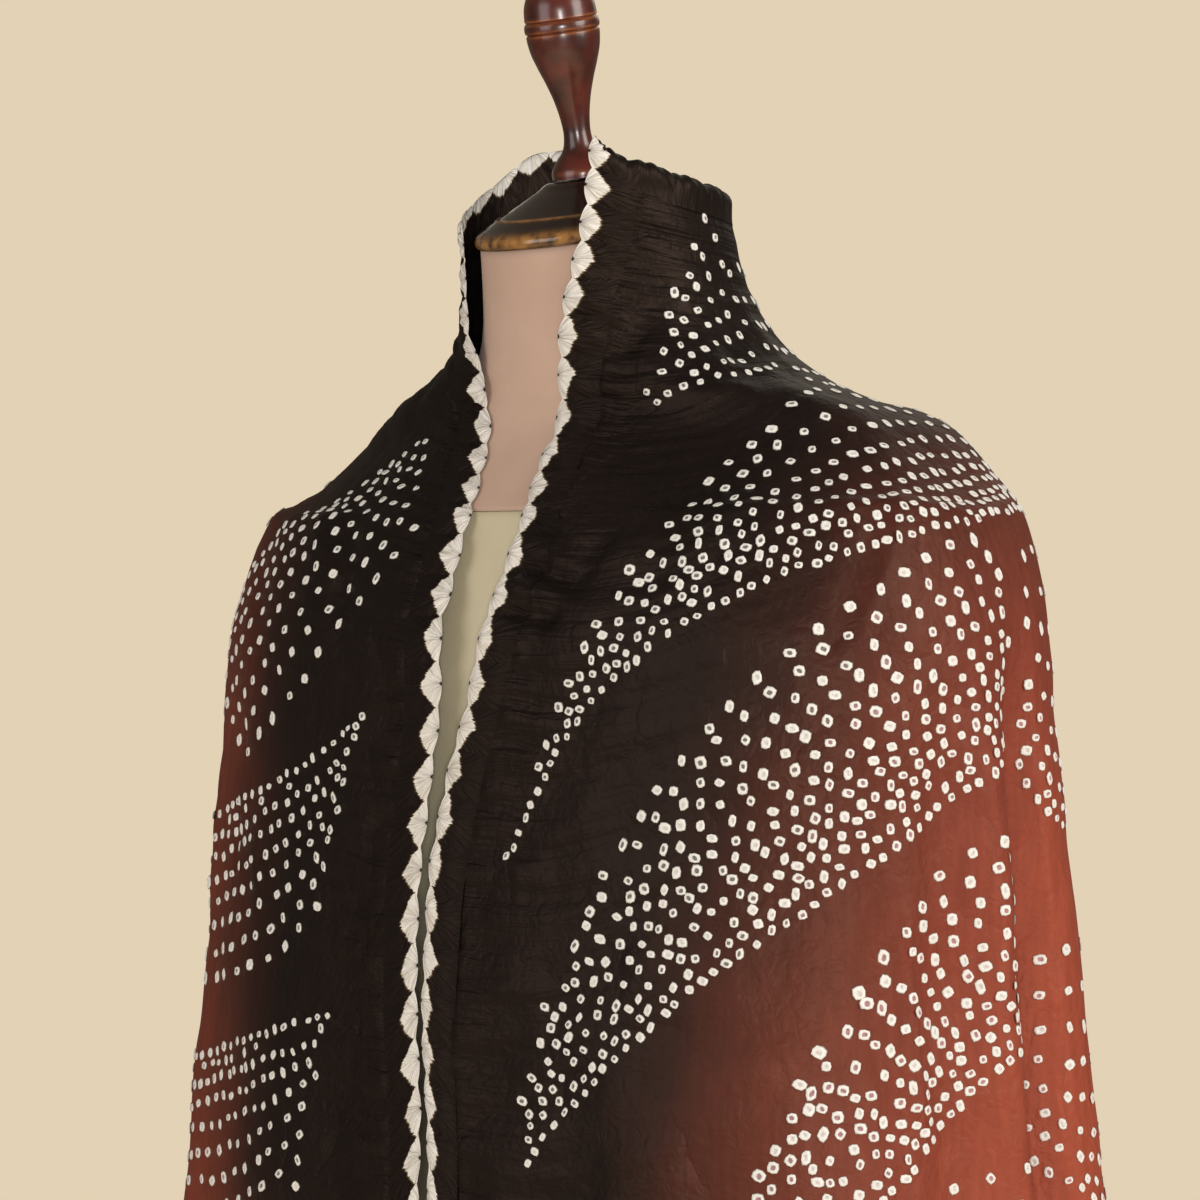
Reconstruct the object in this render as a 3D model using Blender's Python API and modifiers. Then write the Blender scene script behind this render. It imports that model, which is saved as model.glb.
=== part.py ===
"""A bandhani shawl worn like an open cape by a plain dress form on a pole and a round base.

Units are metres, +Z is up and the floor is z = 0. The form faces -Y, and its left shoulder is at +X.
Round the body, angles are in degrees from the middle of the back, positive towards the form's left.
"""

import math

import bmesh
import bpy
import numpy as np
from mathutils import Vector
from mathutils.bvhtree import BVHTree

# Driving sizes of the form and its stand
NECK_TOP_HEIGHT = 1.466
NECK_TOP_Y = -0.0475
NECK_LEAN = math.radians(12.0)
NECKLINE_HEIGHT = 1.320
TORSO_BOTTOM_HEIGHT = 0.745
POLE_RADIUS = 0.014
BASE_RADIUS = 0.210
BASE_HUB_HEIGHT = 0.034
PIECE_GAP = 0.0003
RING_POINTS = 20
TURNED_STEPS = 32

# Driving sizes of the shawl
CLOTH_THICKNESS = 0.0012
CLOTH_SEAT = 0.0006
CLING_TOUCH = 0.005
CLING_REACH = 0.015
CLING_TOP = 1.385
CLING_FADE = 0.030
ROLLED_STRIP = 0.014
ROLL_TURN = math.radians(165.0)
ROLL_STEPS = 3
COLLAR_STEPS = 3
HANG_STEPS = 9
COLLAR_FOOT_HEIGHT = 1.420
HANG_TOP_HEIGHT = 1.250
SHOULDER_HEIGHTS = (1.407, 1.396, 1.386, 1.376, 1.364, 1.347, 1.323, 1.290)
COLUMNS = 84
FOLD_CROWDING = 2.4
FOLD_CROWDING_WIDTH = 7.0
HEM_FULLNESS = 0.9
FULLNESS_TOP = 0.95
FULLNESS_DROP = 0.40

# The form above its neckline: height, centre y, half width, front, back, forward tilt in degrees, squareness
UPPER_RINGS = (
    (NECKLINE_HEIGHT + PIECE_GAP / 2, -0.020, 0.2190, 0.1080, 0.1210, 0.0, 2.40),
    (1.342, -0.014, 0.1960, 0.0960, 0.1140, 0.0, 2.30),
    (1.358, -0.012, 0.1700, 0.0860, 0.1060, 0.0, 2.20),
    (1.371, -0.016, 0.1530, 0.0790, 0.0980, 2.0, 2.10),
    (1.381, -0.022, 0.1320, 0.0730, 0.0900, 4.0, 2.05),
    (1.391, -0.028, 0.1030, 0.0660, 0.0800, 7.0, 2.00),
    (1.406, -0.034, 0.0740, 0.0650, 0.0660, 11.0, 2.00),
    (1.430, -0.0400, 0.0630, 0.0620, 0.0610, 12.0, 2.00),
    (NECK_TOP_HEIGHT, NECK_TOP_Y, 0.0595, 0.0595, 0.0595, 12.0, 2.00),
)

# The form below its neckline, in the same columns
BODY_RINGS = (
    (TORSO_BOTTOM_HEIGHT, -0.022, 0.1560, 0.1060, 0.1080, 0.0, 2.20),
    (0.785, -0.022, 0.1660, 0.1120, 0.1160, 0.0, 2.25),
    (0.850, -0.022, 0.1620, 0.1110, 0.1130, 0.0, 2.25),
    (0.930, -0.022, 0.1400, 0.1010, 0.0990, 0.0, 2.20),
    (1.010, -0.022, 0.1260, 0.0940, 0.0880, 0.0, 2.15),
    (1.090, -0.022, 0.1430, 0.1050, 0.0940, 0.0, 2.15),
    (1.160, -0.022, 0.1700, 0.1210, 0.1040, 0.0, 2.20),
    (1.215, -0.022, 0.1960, 0.1260, 0.1110, 0.0, 2.30),
    (1.255, -0.022, 0.2180, 0.1240, 0.1170, 0.0, 2.35),
    (1.292, -0.021, 0.2230, 0.1170, 0.1210, 0.0, 2.40),
    (NECKLINE_HEIGHT - PIECE_GAP / 2, -0.020, 0.2190, 0.1080, 0.1210, 0.0, 2.40),
)

# The draped shawl: height, centre y, half width, front, back, squareness
SHAWL_SECTIONS = (
    (0.250, -0.022, 0.2980, 0.1780, 0.1640, 2.4),
    (0.600, -0.022, 0.2900, 0.1700, 0.1560, 2.4),
    (0.800, -0.022, 0.2790, 0.1610, 0.1460, 2.5),
    (0.960, -0.022, 0.2670, 0.1540, 0.1370, 2.5),
    (1.040, -0.022, 0.2590, 0.1500, 0.1320, 2.5),
    (1.115, -0.022, 0.2520, 0.1450, 0.1260, 2.5),
    (1.180, -0.022, 0.2490, 0.1400, 0.1240, 2.5),
    (1.250, -0.022, 0.2450, 0.1380, 0.1310, 2.5),
    (1.285, -0.021, 0.2380, 0.1300, 0.1390, 2.5),
    (1.318, -0.020, 0.2260, 0.1180, 0.1380, 2.5),
    (1.342, -0.014, 0.2020, 0.0980, 0.1310, 2.4),
    (1.360, -0.012, 0.1800, 0.0870, 0.1310, 2.35),
    (1.373, -0.016, 0.1620, 0.0820, 0.1220, 2.2),
    (1.383, -0.022, 0.1430, 0.0790, 0.1130, 2.1),
    (1.393, -0.028, 0.1190, 0.0730, 0.1030, 2.0),
    (1.405, -0.033, 0.0960, 0.0690, 0.0950, 2.0),
    (1.420, -0.037, 0.0820, 0.0680, 0.0870, 2.0),
    (1.450, -0.044, 0.0730, 0.0650, 0.0780, 2.0),
    (1.480, -0.050, 0.0700, 0.0630, 0.0770, 2.0),
    (1.520, -0.056, 0.0680, 0.0610, 0.0740, 2.0),
)

# The shawl's front edges: height, x of the left edge, x of the right edge
FRONT_EDGES = (
    (0.600, 0.023, -0.011),
    (0.800, 0.016, 0.000),
    (1.000, 0.007, 0.000),
    (1.080, -0.001, -0.007),
    (1.130, -0.001, -0.009),
    (1.180, 0.007, -0.005),
    (1.226, 0.022, 0.001),
    (1.270, 0.031, -0.001),
    (1.310, 0.034, -0.004),
    (1.350, 0.022, -0.021),
    (1.390, 0.024, -0.036),
    (1.420, 0.030, -0.044),
    (1.470, 0.043, -0.047),
    (1.520, 0.050, -0.046),
)

# The collar's crest: place from right edge -1 to left edge 1, height, share of the full inward roll
COLLAR = (
    (-1.00, 1.455, 0.0),
    (-0.85, 1.464, 0.0),
    (-0.65, 1.481, 0.0),
    (-0.45, 1.500, 0.0),
    (-0.30, 1.502, 0.2),
    (0.00, 1.488, 0.8),
    (0.35, 1.481, 0.9),
    (0.60, 1.484, 0.9),
    (0.85, 1.492, 0.9),
    (0.95, 1.496, 0.7),
    (1.00, 1.498, 0.2),
)

# The hem: place round the body from the back 0 to a front edge 1, height on the left, height on the right
HEM = (
    (0.00, 0.650, 0.650),
    (0.20, 0.615, 0.610),
    (0.36, 0.520, 0.535),
    (0.50, 0.380, 0.405),
    (0.60, 0.300, 0.320),
    (0.70, 0.365, 0.380),
    (0.84, 0.530, 0.520),
    (1.00, 0.660, 0.645),
)

# The main folds: angle, half width in degrees, depth with ridges positive, height where it starts,
# height where it is whole, degrees of drift for each metre down
FOLDS = (
    (85.0, 3.0, -0.030, 1.30, 1.10, 0.0),
    (73.0, 7.0, 0.014, 1.31, 1.10, 0.0),
    (91.0, 3.4, 0.008, 1.28, 1.12, 0.0),
    (98.5, 4.0, -0.006, 1.26, 1.15, 2.0),
    (106.0, 3.2, 0.004, 1.16, 1.02, 4.0),
    (121.0, 5.0, -0.010, 1.08, 0.80, 6.0),
    (133.0, 5.0, 0.009, 1.12, 0.85, 6.0),
    (147.0, 5.0, -0.008, 1.10, 0.80, 4.0),
    (160.0, 5.0, 0.007, 1.05, 0.80, 2.0),
    (-86.0, 3.6, -0.026, 1.28, 1.06, 0.0),
    (-73.0, 7.0, 0.013, 1.30, 1.08, 0.0),
    (-96.0, 4.0, 0.006, 1.26, 1.12, 0.0),
    (-108.0, 3.2, -0.006, 1.27, 1.18, -2.0),
    (-116.0, 3.4, 0.005, 1.24, 1.12, -4.0),
    (-128.0, 5.0, -0.009, 1.06, 0.82, -4.0),
    (-143.0, 5.5, 0.009, 1.10, 0.84, -4.0),
    (-158.0, 5.0, -0.007, 1.08, 0.80, -2.0),
    (57.0, 5.0, -0.012, 1.24, 0.92, -3.0),
    (44.0, 6.0, 0.011, 1.22, 0.90, -3.0),
    (29.0, 5.5, -0.013, 1.25, 0.88, -2.0),
    (13.0, 6.5, 0.011, 1.24, 0.90, -1.0),
    (-4.0, 5.5, -0.012, 1.26, 0.90, 0.0),
    (-20.0, 6.5, 0.012, 1.24, 0.88, 1.0),
    (-37.0, 5.5, -0.013, 1.22, 0.90, 2.0),
    (-53.0, 6.0, 0.010, 1.24, 0.92, 3.0),
)

# The cap on the neck and the turned pieces: radius and height from top to bottom
CAP_PROFILE = (
    (0.0000, 0.0290),
    (0.0180, 0.0286),
    (0.0250, 0.0250),
    (0.0400, 0.0172),
    (0.0535, 0.0102),
    (0.0602, 0.0056),
    (0.0612, 0.0036),
    (0.0604, 0.0000),
    (0.0000, 0.0000),
)
FINIAL_PROFILE = (
    (0.0000, 0.1065),
    (0.0070, 0.1052),
    (0.0128, 0.1012),
    (0.0166, 0.0950),
    (0.0188, 0.0880),
    (0.0196, 0.0790),
    (0.0184, 0.0680),
    (0.0158, 0.0592),
    (0.0125, 0.0502),
    (0.0095, 0.0402),
    (0.0076, 0.0302),
    (0.0071, 0.0240),
    (0.0076, 0.0188),
    (0.0092, 0.0142),
    (0.0122, 0.0105),
    (0.0147, 0.0066),
    (0.0161, 0.0030),
    (0.0161, 0.0000),
    (0.0000, 0.0000),
)
BASE_PROFILE = (
    (0.000, BASE_HUB_HEIGHT),
    (0.024, BASE_HUB_HEIGHT),
    (0.030, 0.030),
    (0.048, 0.026),
    (0.120, 0.022),
    (0.196, 0.018),
    (BASE_RADIUS - 0.004, 0.015),
    (BASE_RADIUS, 0.010),
    (BASE_RADIUS, 0.004),
    (BASE_RADIUS - 0.003, 0.000),
    (0.000, 0.000),
)


def clear_scene():
    for obj in list(bpy.data.objects):
        bpy.data.objects.remove(obj, do_unlink=True)


def make_material(name, color, roughness, metallic=0.0):
    material = bpy.data.materials.new(name)
    material.use_nodes = True
    shader = material.node_tree.nodes["Principled BSDF"]
    shader.inputs["Base Color"].default_value = (*color, 1.0)
    shader.inputs["Roughness"].default_value = roughness
    shader.inputs["Metallic"].default_value = metallic
    return material


def add_object(name, mesh, collection, material):
    mesh.materials.append(material)
    obj = bpy.data.objects.new(name, mesh)
    collection.objects.link(obj)
    return obj


def eased(share):
    """A share from 0 to 1 with soft ends."""
    share = np.clip(share, 0.0, 1.0)
    return share * share * (3.0 - 2.0 * share)


def read_table(table, wanted):
    """The table's later columns at the wanted values of its first, on curves that never overshoot the rows."""
    rows = np.array(table)
    keys = rows[:, 0]
    values = rows[:, 1:]
    gaps = np.diff(keys)[:, None]
    rises = np.diff(values, axis=0) / gaps
    slopes = np.zeros_like(values)
    product = rises[:-1] * rises[1:]
    together = np.where(product > 0.0, rises[:-1] + rises[1:], 1.0)
    slopes[1:-1] = np.where(product > 0.0, 2.0 * product / together, 0.0)
    slopes[0] = rises[0]
    slopes[-1] = rises[-1]
    wanted = np.clip(np.asarray(wanted, dtype=float), keys[0], keys[-1])
    low = np.clip(np.searchsorted(keys, wanted, side="right") - 1, 0, len(keys) - 2)
    gap = np.diff(keys)[low][..., None]
    share = (wanted[..., None] - keys[low][..., None]) / gap
    start = values[low] * (1 + 2 * share) * (1 - share) ** 2 + slopes[low] * gap * share * (1 - share) ** 2
    end = values[low + 1] * share**2 * (3 - 2 * share) + slopes[low + 1] * gap * share**2 * (share - 1)
    return np.moveaxis(start + end, -1, 0)


def section_radius(angle, half_width, front, back, squareness):
    """How far a rounded section reaches from its centre at an angle in radians from the back."""
    depth = np.where(np.cos(angle) < 0.0, front, back)
    across = np.abs(np.sin(angle) / half_width) ** squareness
    along = np.abs(np.cos(angle) / depth) ** squareness
    return (across + along) ** (-1.0 / squareness)


def ring_points(ring):
    """The points of one ring of the form, tilted forward about the line through its centre."""
    height, centre_y, half_width, front, back, tilt, squareness = ring
    points = []
    for step in range(RING_POINTS):
        angle = 2 * math.pi * step / RING_POINTS
        radius = float(section_radius(angle, half_width, front, back, squareness))
        along = radius * math.cos(angle)
        drop = along * math.sin(math.radians(tilt))
        points.append((radius * math.sin(angle), centre_y + along * math.cos(math.radians(tilt)), height + drop))
    return points


def make_torso(name, rings, collection, material):
    """A closed loft through the rings, softened by one subdivision with its two flat ends kept sharp."""
    mesh = bpy.data.meshes.new(name)
    shape = bmesh.new()
    loops = [[shape.verts.new(point) for point in ring_points(ring)] for ring in rings]
    for lower, upper in zip(loops, loops[1:]):
        for step in range(RING_POINTS):
            after = (step + 1) % RING_POINTS
            shape.faces.new((lower[after], lower[step], upper[step], upper[after]))
    shape.faces.new(loops[0])
    shape.faces.new(list(reversed(loops[-1])))
    crease = shape.edges.layers.float.new("crease_edge")
    for loop in (loops[0], loops[-1]):
        for start, end in zip(loop, loop[1:] + loop[:1]):
            shape.edges.get((start, end))[crease] = 1.0
    bmesh.ops.recalc_face_normals(shape, faces=shape.faces)
    shape.to_mesh(mesh)
    shape.free()
    mesh.shade_smooth()
    obj = add_object(name, mesh, collection, material)
    soften = obj.modifiers.new("Soften", "SUBSURF")
    soften.levels = 1
    soften.render_levels = 1
    return obj


def make_turned(name, profile, collection, material):
    """A turned piece: its profile, top to bottom, spun round Z."""
    mesh = bpy.data.meshes.new(name)
    shape = bmesh.new()
    verts = [shape.verts.new((radius, 0.0, height)) for radius, height in profile]
    for upper, lower in zip(verts, verts[1:]):
        shape.edges.new((upper, lower))
    shape.to_mesh(mesh)
    shape.free()
    obj = add_object(name, mesh, collection, material)
    spin = obj.modifiers.new("Turn", "SCREW")
    spin.steps = TURNED_STEPS
    spin.render_steps = TURNED_STEPS
    spin.use_merge_vertices = True
    spin.merge_threshold = 0.00005
    return obj


def make_pole(collection, material):
    bottom = BASE_HUB_HEIGHT + PIECE_GAP
    top = TORSO_BOTTOM_HEIGHT - PIECE_GAP
    mesh = bpy.data.meshes.new("pole")
    shape = bmesh.new()
    bmesh.ops.create_cone(
        shape, cap_ends=True, segments=32, radius1=POLE_RADIUS, radius2=POLE_RADIUS, depth=top - bottom
    )
    shape.to_mesh(mesh)
    shape.free()
    obj = add_object("pole", mesh, collection, material)
    obj.location.z = (top + bottom) / 2
    return obj


def column_places():
    """Places round the body from -1 to 1, closer together at the two deep side pleats."""
    fine = np.linspace(-1.0, 1.0, 4001)
    density = np.ones_like(fine)
    for angle, _, depth, _, _, _ in FOLDS:
        if depth < -0.02:
            density += FOLD_CROWDING * np.exp(-(((fine * 180.0 - angle) / FOLD_CROWDING_WIDTH) ** 2))
    reached = np.concatenate([[0.0], np.cumsum((density[1:] + density[:-1]) / 2)])
    return np.interp(np.linspace(0.0, reached[-1], COLUMNS + 1), reached, fine)


def row_heights(places):
    """Heights of the shawl's rows, one list of columns for each row from the collar's crest to the hem."""
    crest = read_table(COLLAR, places)[0]
    hem_left, hem_right = read_table(HEM, np.abs(places))
    hem = np.where(places > 0.0, hem_left, hem_right)
    rows = [crest + (COLLAR_FOOT_HEIGHT - crest) * step / COLLAR_STEPS for step in range(COLLAR_STEPS + 1)]
    rows += [np.full_like(crest, height) for height in SHOULDER_HEIGHTS]
    rows += [HANG_TOP_HEIGHT + (hem - HANG_TOP_HEIGHT) * step / HANG_STEPS for step in range(HANG_STEPS + 1)]
    return np.array(rows)


def fold_depth(degrees, heights):
    """How far the folds move the cloth out or in."""
    fuller = 1.0 + HEM_FULLNESS * eased((FULLNESS_TOP - heights) / FULLNESS_DROP)
    moved = np.zeros_like(heights)
    for angle, half_width, depth, starts, whole, drift in FOLDS:
        middle = angle + drift * (starts - heights)
        grown = eased((starts - heights) / (starts - whole))
        moved += depth * grown * np.exp(-(((degrees - middle) / half_width) ** 2))
    return moved * np.where(np.abs(moved) > 0.015, 1.0, fuller)


def shawl_grid():
    """Points of the cloth's middle surface as rows by columns, from the crest of the collar to the hem."""
    places = column_places()
    heights = row_heights(places)
    places = np.broadcast_to(places, heights.shape)
    centre_y, half_width, front, back, squareness = read_table(SHAWL_SECTIONS, heights)
    left_x, right_x = read_table(FRONT_EDGES, heights)
    edge_x = np.where(places > 0.0, left_x, -right_x)
    edge_depth = front * (1.0 - np.abs(edge_x / half_width) ** squareness) ** (1.0 / squareness)
    angle = places * (math.pi - np.arctan(edge_x / edge_depth))
    radius = section_radius(angle, half_width, front, back, squareness)
    radius = radius + fold_depth(np.degrees(angle), heights)
    return np.stack([radius * np.sin(angle), centre_y + radius * np.cos(angle), heights], axis=-1), centre_y


def form_skin(pieces):
    """The form's outer skin, without the flat ends where its pieces meet or the cap sits."""
    bpy.context.view_layer.update()
    graph = bpy.context.evaluated_depsgraph_get()
    neck_axis = Vector((0.0, -math.sin(NECK_LEAN), math.cos(NECK_LEAN)))
    points = []
    faces = []
    for piece in pieces:
        mesh = piece.evaluated_get(graph).to_mesh()
        first = len(points)
        points += [vertex.co.copy() for vertex in mesh.vertices]
        for face in mesh.polygons:
            flat_end = abs(face.normal.z) > 0.9999 or face.normal.dot(neck_axis) > 0.9999
            if not flat_end:
                faces.append([first + index for index in face.vertices])
        piece.evaluated_get(graph).to_mesh_clear()
    return BVHTree.FromPolygons(points, faces)


def cling(point, skin):
    """A point of the cloth moved to rest just clear of the form where it comes near it."""
    rest = CLOTH_THICKNESS / 2 + CLOTH_SEAT
    nearest, normal, _, distance = skin.find_nearest(point)
    away = math.copysign(distance, (point - nearest).dot(normal))
    if distance > CLING_REACH:
        return point
    freed = float(eased((away - CLING_TOUCH) / (CLING_REACH - CLING_TOUCH)))
    freed = max(freed, float(eased((point.z - CLING_TOP) / CLING_FADE)))
    kept = rest + max(0.0, away - rest) * freed
    outward = (point - nearest).normalized() if away > 0.0 else normal
    return nearest + outward * kept


def rolled_rows(grid, centre_y):
    """The strip above the collar's crest, turned inward by each column's share of the roll."""
    share = read_table(COLLAR, column_places())[1]
    rows = []
    last = grid[0]
    up = grid[0] - grid[1]
    up /= np.linalg.norm(up, axis=-1, keepdims=True)
    inward = np.stack([-last[:, 0], centre_y[0] - last[:, 1], np.zeros(len(last))], axis=-1)
    inward /= np.linalg.norm(inward, axis=-1, keepdims=True)
    for step in range(ROLL_STEPS):
        turn = (share * ROLL_TURN * (step + 0.7) / ROLL_STEPS)[:, None]
        last = last + ROLLED_STRIP / ROLL_STEPS * (np.cos(turn) * up + np.sin(turn) * inward)
        rows.insert(0, last)
    return np.array(rows)


def make_shawl(form_pieces, collection, material):
    skin = form_skin(form_pieces)
    grid, centre_y = shawl_grid()
    for row in grid:
        for column, point in enumerate(row):
            row[column] = cling(Vector(point), skin)
    grid = np.concatenate([rolled_rows(grid, centre_y), grid])
    rows, columns = grid.shape[:2]
    mesh = bpy.data.meshes.new("shawl")
    shape = bmesh.new()
    verts = [[shape.verts.new(point) for point in row] for row in grid]
    for row in range(rows - 1):
        for column in range(columns - 1):
            corners = (
                verts[row][column],
                verts[row + 1][column],
                verts[row + 1][column + 1],
                verts[row][column + 1],
            )
            shape.faces.new(corners)
    shape.to_mesh(mesh)
    shape.free()
    mesh.shade_smooth()
    obj = add_object("shawl", mesh, collection, material)
    thicken = obj.modifiers.new("Thickness", "SOLIDIFY")
    thicken.thickness = CLOTH_THICKNESS
    thicken.offset = 0.0
    return obj


def seat_on_neck(obj, height):
    """Places a turned piece on the leaning neck's axis, a height above the neck's flat top."""
    axis = Vector((0.0, -math.sin(NECK_LEAN), math.cos(NECK_LEAN)))
    obj.location = Vector((0.0, NECK_TOP_Y, NECK_TOP_HEIGHT)) + axis * height
    obj.rotation_euler.x = NECK_LEAN


def main():
    clear_scene()
    collection = bpy.data.collections.new("bandhani shawl on a dress form")
    bpy.context.scene.collection.children.link(collection)

    taupe = make_material("taupe_jersey", (0.51, 0.33, 0.25), 0.85)
    cream = make_material("cream_cover", (0.55, 0.47, 0.31), 0.90)
    mahogany = make_material("mahogany", (0.05, 0.012, 0.006), 0.22)
    cloth = make_material("dyed_cloth", (0.14, 0.045, 0.025), 0.55)

    form_upper = make_torso("form_upper", UPPER_RINGS, collection, taupe)
    form_body = make_torso("form_body", BODY_RINGS, collection, cream)

    cap = make_turned("neck_cap", CAP_PROFILE, collection, mahogany)
    seat_on_neck(cap, PIECE_GAP)
    finial = make_turned("finial", FINIAL_PROFILE, collection, mahogany)
    seat_on_neck(finial, PIECE_GAP + CAP_PROFILE[0][1] + PIECE_GAP)

    make_pole(collection, mahogany)
    make_turned("base", BASE_PROFILE, collection, mahogany)
    make_shawl((form_upper, form_body), collection, cloth)


main()
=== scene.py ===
"""The looks of a bandhani shawl worn like an open cape by a dress form on a stand.

Metres, +Z up, the form facing -Y. Round the body, angles run in degrees from the middle of the back,
positive towards the form's left. On the cloth, t is the distance from its scalloped long edge.
"""

import itertools
import math
import random

import bmesh
import bpy
import numpy as np
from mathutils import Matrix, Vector, noise
from mathutils.bvhtree import BVHTree


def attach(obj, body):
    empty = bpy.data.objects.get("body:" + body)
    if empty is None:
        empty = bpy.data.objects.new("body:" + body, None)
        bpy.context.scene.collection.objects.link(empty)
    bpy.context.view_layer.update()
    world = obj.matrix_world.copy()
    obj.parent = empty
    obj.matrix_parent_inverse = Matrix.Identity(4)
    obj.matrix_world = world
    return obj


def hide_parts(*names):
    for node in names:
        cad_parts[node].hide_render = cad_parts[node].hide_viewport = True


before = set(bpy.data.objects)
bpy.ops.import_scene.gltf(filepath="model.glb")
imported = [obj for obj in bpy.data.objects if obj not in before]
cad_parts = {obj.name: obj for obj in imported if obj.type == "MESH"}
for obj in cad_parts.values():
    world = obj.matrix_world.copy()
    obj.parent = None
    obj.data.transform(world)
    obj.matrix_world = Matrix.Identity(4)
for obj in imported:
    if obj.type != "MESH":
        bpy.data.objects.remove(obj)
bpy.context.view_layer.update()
rng = random.Random(41)

# The form and its stand
NECK_TOP_HEIGHT = 1.466
NECK_TOP_Y = -0.0475
NECK_LEAN = math.radians(12.0)
NECKLINE_HEIGHT = 1.320
TORSO_BOTTOM_HEIGHT = 0.745
POLE_RADIUS = 0.014
BASE_RADIUS = 0.210
BASE_HUB_HEIGHT = 0.034
PIECE_GAP = 0.0003
RING_POINTS = 20

# The shawl
CLOTH_SEAT = 0.0012
CLING_TOUCH = 0.005
CLING_REACH = 0.015
CLING_TOP = 1.385
CLING_FADE = 0.030
ROLLED_STRIP = 0.014
ROLL_TURN = math.radians(165.0)
COLLAR_FOOT_HEIGHT = 1.420
HANG_TOP_HEIGHT = 1.250
HEM_FULLNESS = 0.9
FULLNESS_TOP = 0.95
FULLNESS_DROP = 0.40

# The scalloped border
PETAL_PITCH = 0.0240
PETAL_PITCH_TOP = 0.0175
TOP_REACH = 0.12
PETAL_DEPTH = 0.0108
PINCH_DEPTH = 0.0009
BORDER_WIDTH = 0.025
BORDER_LAP = 0.002
BORDER_COLUMNS = 19
BORDER_LIFT = 0.0003
BORDER_FLOOR = 0.0004
FRONT_ROWS = 760
COLLAR_ROWS = 420
COLLAR_PLAIN = 0.19
PETAL_BULGE = 0.0028
PETAL_PUFF = 0.0018
PETAL_ROOT = 0.0012
PLEAT_HEIGHT = 0.00045

# The cloth's finish
CLOTH_ROUGHNESS = 0.48
CLOTH_SPECULAR = 0.24
CLOTH_GLINT = (255, 214, 190)
PETAL_HALO = (122, 104, 70)

# The tied dots: sizes in metres, then share of the size, height and tint of each ring
DOT_STRAY = 0.0014
DOT_CLEAR = 0.0058
DOT_SIZES = (0.0019, 0.0026)
DOT_SEGMENTS = 8
DOT_RINGS = (
    (0.36, 0.00030, "pit"),
    (0.54, 0.00090, "pale"),
    (0.92, 0.00060, "pale"),
    (1.10, 0.00012, "rim"),
)
DOT_WHITE = (250, 249, 245)
DOT_RIM = (122, 112, 74)
DOT_BLUSH = (206, 150, 168)
CURVE_STEPS = 400

# The gathers: waves for each metre along the edge and inward, layer and seed of their noise,
# crown, sharpness, height, reach inward
GATHERS = (
    (118.0, 16.0, 0.0, 3.0, 1.0, 2.4, 0.0015, 0.040),
    (62.0, 7.0, 4.0, 9.0, 0.6, 2.6, 0.0030, 0.085),
)

# The cloth's soft lumps: waves for each metre, seed of their noise, height
LUMPS = (
    (17.0, 11.0, 0.0022),
    (43.0, 7.0, 0.0009),
)

# How far creases may sink in on the shoulders and lower down, and painted light on the right: there the dye
# turns to rust nearer the edge, so that side is painted lighter in place of the lamp light it lacks
SINK = 0.0008
SINK_LOWER = 0.0030
SHOULDER_FADE = 0.08
RIGHT_PAINTED_LIGHT = 0.18
RIGHT_PAINTED_LIGHT_REACH = 0.4

# The sheet's columns and rows: start, end and number in each run
COLUMN_RUNS = ((-1.0, -0.50, 84), (-0.50, -0.36, 26), (-0.36, 0.34, 66), (0.34, 0.54, 50), (0.54, 1.0, 100))
ROW_RUNS = ((1.0, 2.0, 92), (2.0, 2.45, 96), (2.45, 3.0, 64))
ROWS_ON_COLLAR = 34

# The form above its neckline: height, centre y, half width, front, back, forward tilt in degrees, squareness
UPPER_RINGS = (
    (NECKLINE_HEIGHT + PIECE_GAP / 2, -0.020, 0.2190, 0.1080, 0.1210, 0.0, 2.40),
    (1.342, -0.014, 0.1960, 0.0960, 0.1140, 0.0, 2.30),
    (1.358, -0.012, 0.1700, 0.0860, 0.1060, 0.0, 2.20),
    (1.371, -0.016, 0.1530, 0.0790, 0.0980, 2.0, 2.10),
    (1.381, -0.022, 0.1320, 0.0730, 0.0900, 4.0, 2.05),
    (1.391, -0.028, 0.1030, 0.0660, 0.0800, 7.0, 2.00),
    (1.406, -0.034, 0.0740, 0.0650, 0.0660, 11.0, 2.00),
    (1.430, -0.0400, 0.0630, 0.0620, 0.0610, 12.0, 2.00),
    (NECK_TOP_HEIGHT, NECK_TOP_Y, 0.0595, 0.0595, 0.0595, 12.0, 2.00),
)

# The form below its neckline, in the same columns
BODY_RINGS = (
    (TORSO_BOTTOM_HEIGHT, -0.022, 0.1560, 0.1060, 0.1080, 0.0, 2.20),
    (0.785, -0.022, 0.1660, 0.1120, 0.1160, 0.0, 2.25),
    (0.850, -0.022, 0.1620, 0.1110, 0.1130, 0.0, 2.25),
    (0.930, -0.022, 0.1400, 0.1010, 0.0990, 0.0, 2.20),
    (1.010, -0.022, 0.1260, 0.0940, 0.0880, 0.0, 2.15),
    (1.090, -0.022, 0.1430, 0.1050, 0.0940, 0.0, 2.15),
    (1.160, -0.022, 0.1700, 0.1210, 0.1040, 0.0, 2.20),
    (1.215, -0.022, 0.1960, 0.1260, 0.1110, 0.0, 2.30),
    (1.255, -0.022, 0.2180, 0.1240, 0.1170, 0.0, 2.35),
    (1.292, -0.021, 0.2230, 0.1170, 0.1210, 0.0, 2.40),
    (NECKLINE_HEIGHT - PIECE_GAP / 2, -0.020, 0.2190, 0.1080, 0.1210, 0.0, 2.40),
)

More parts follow.
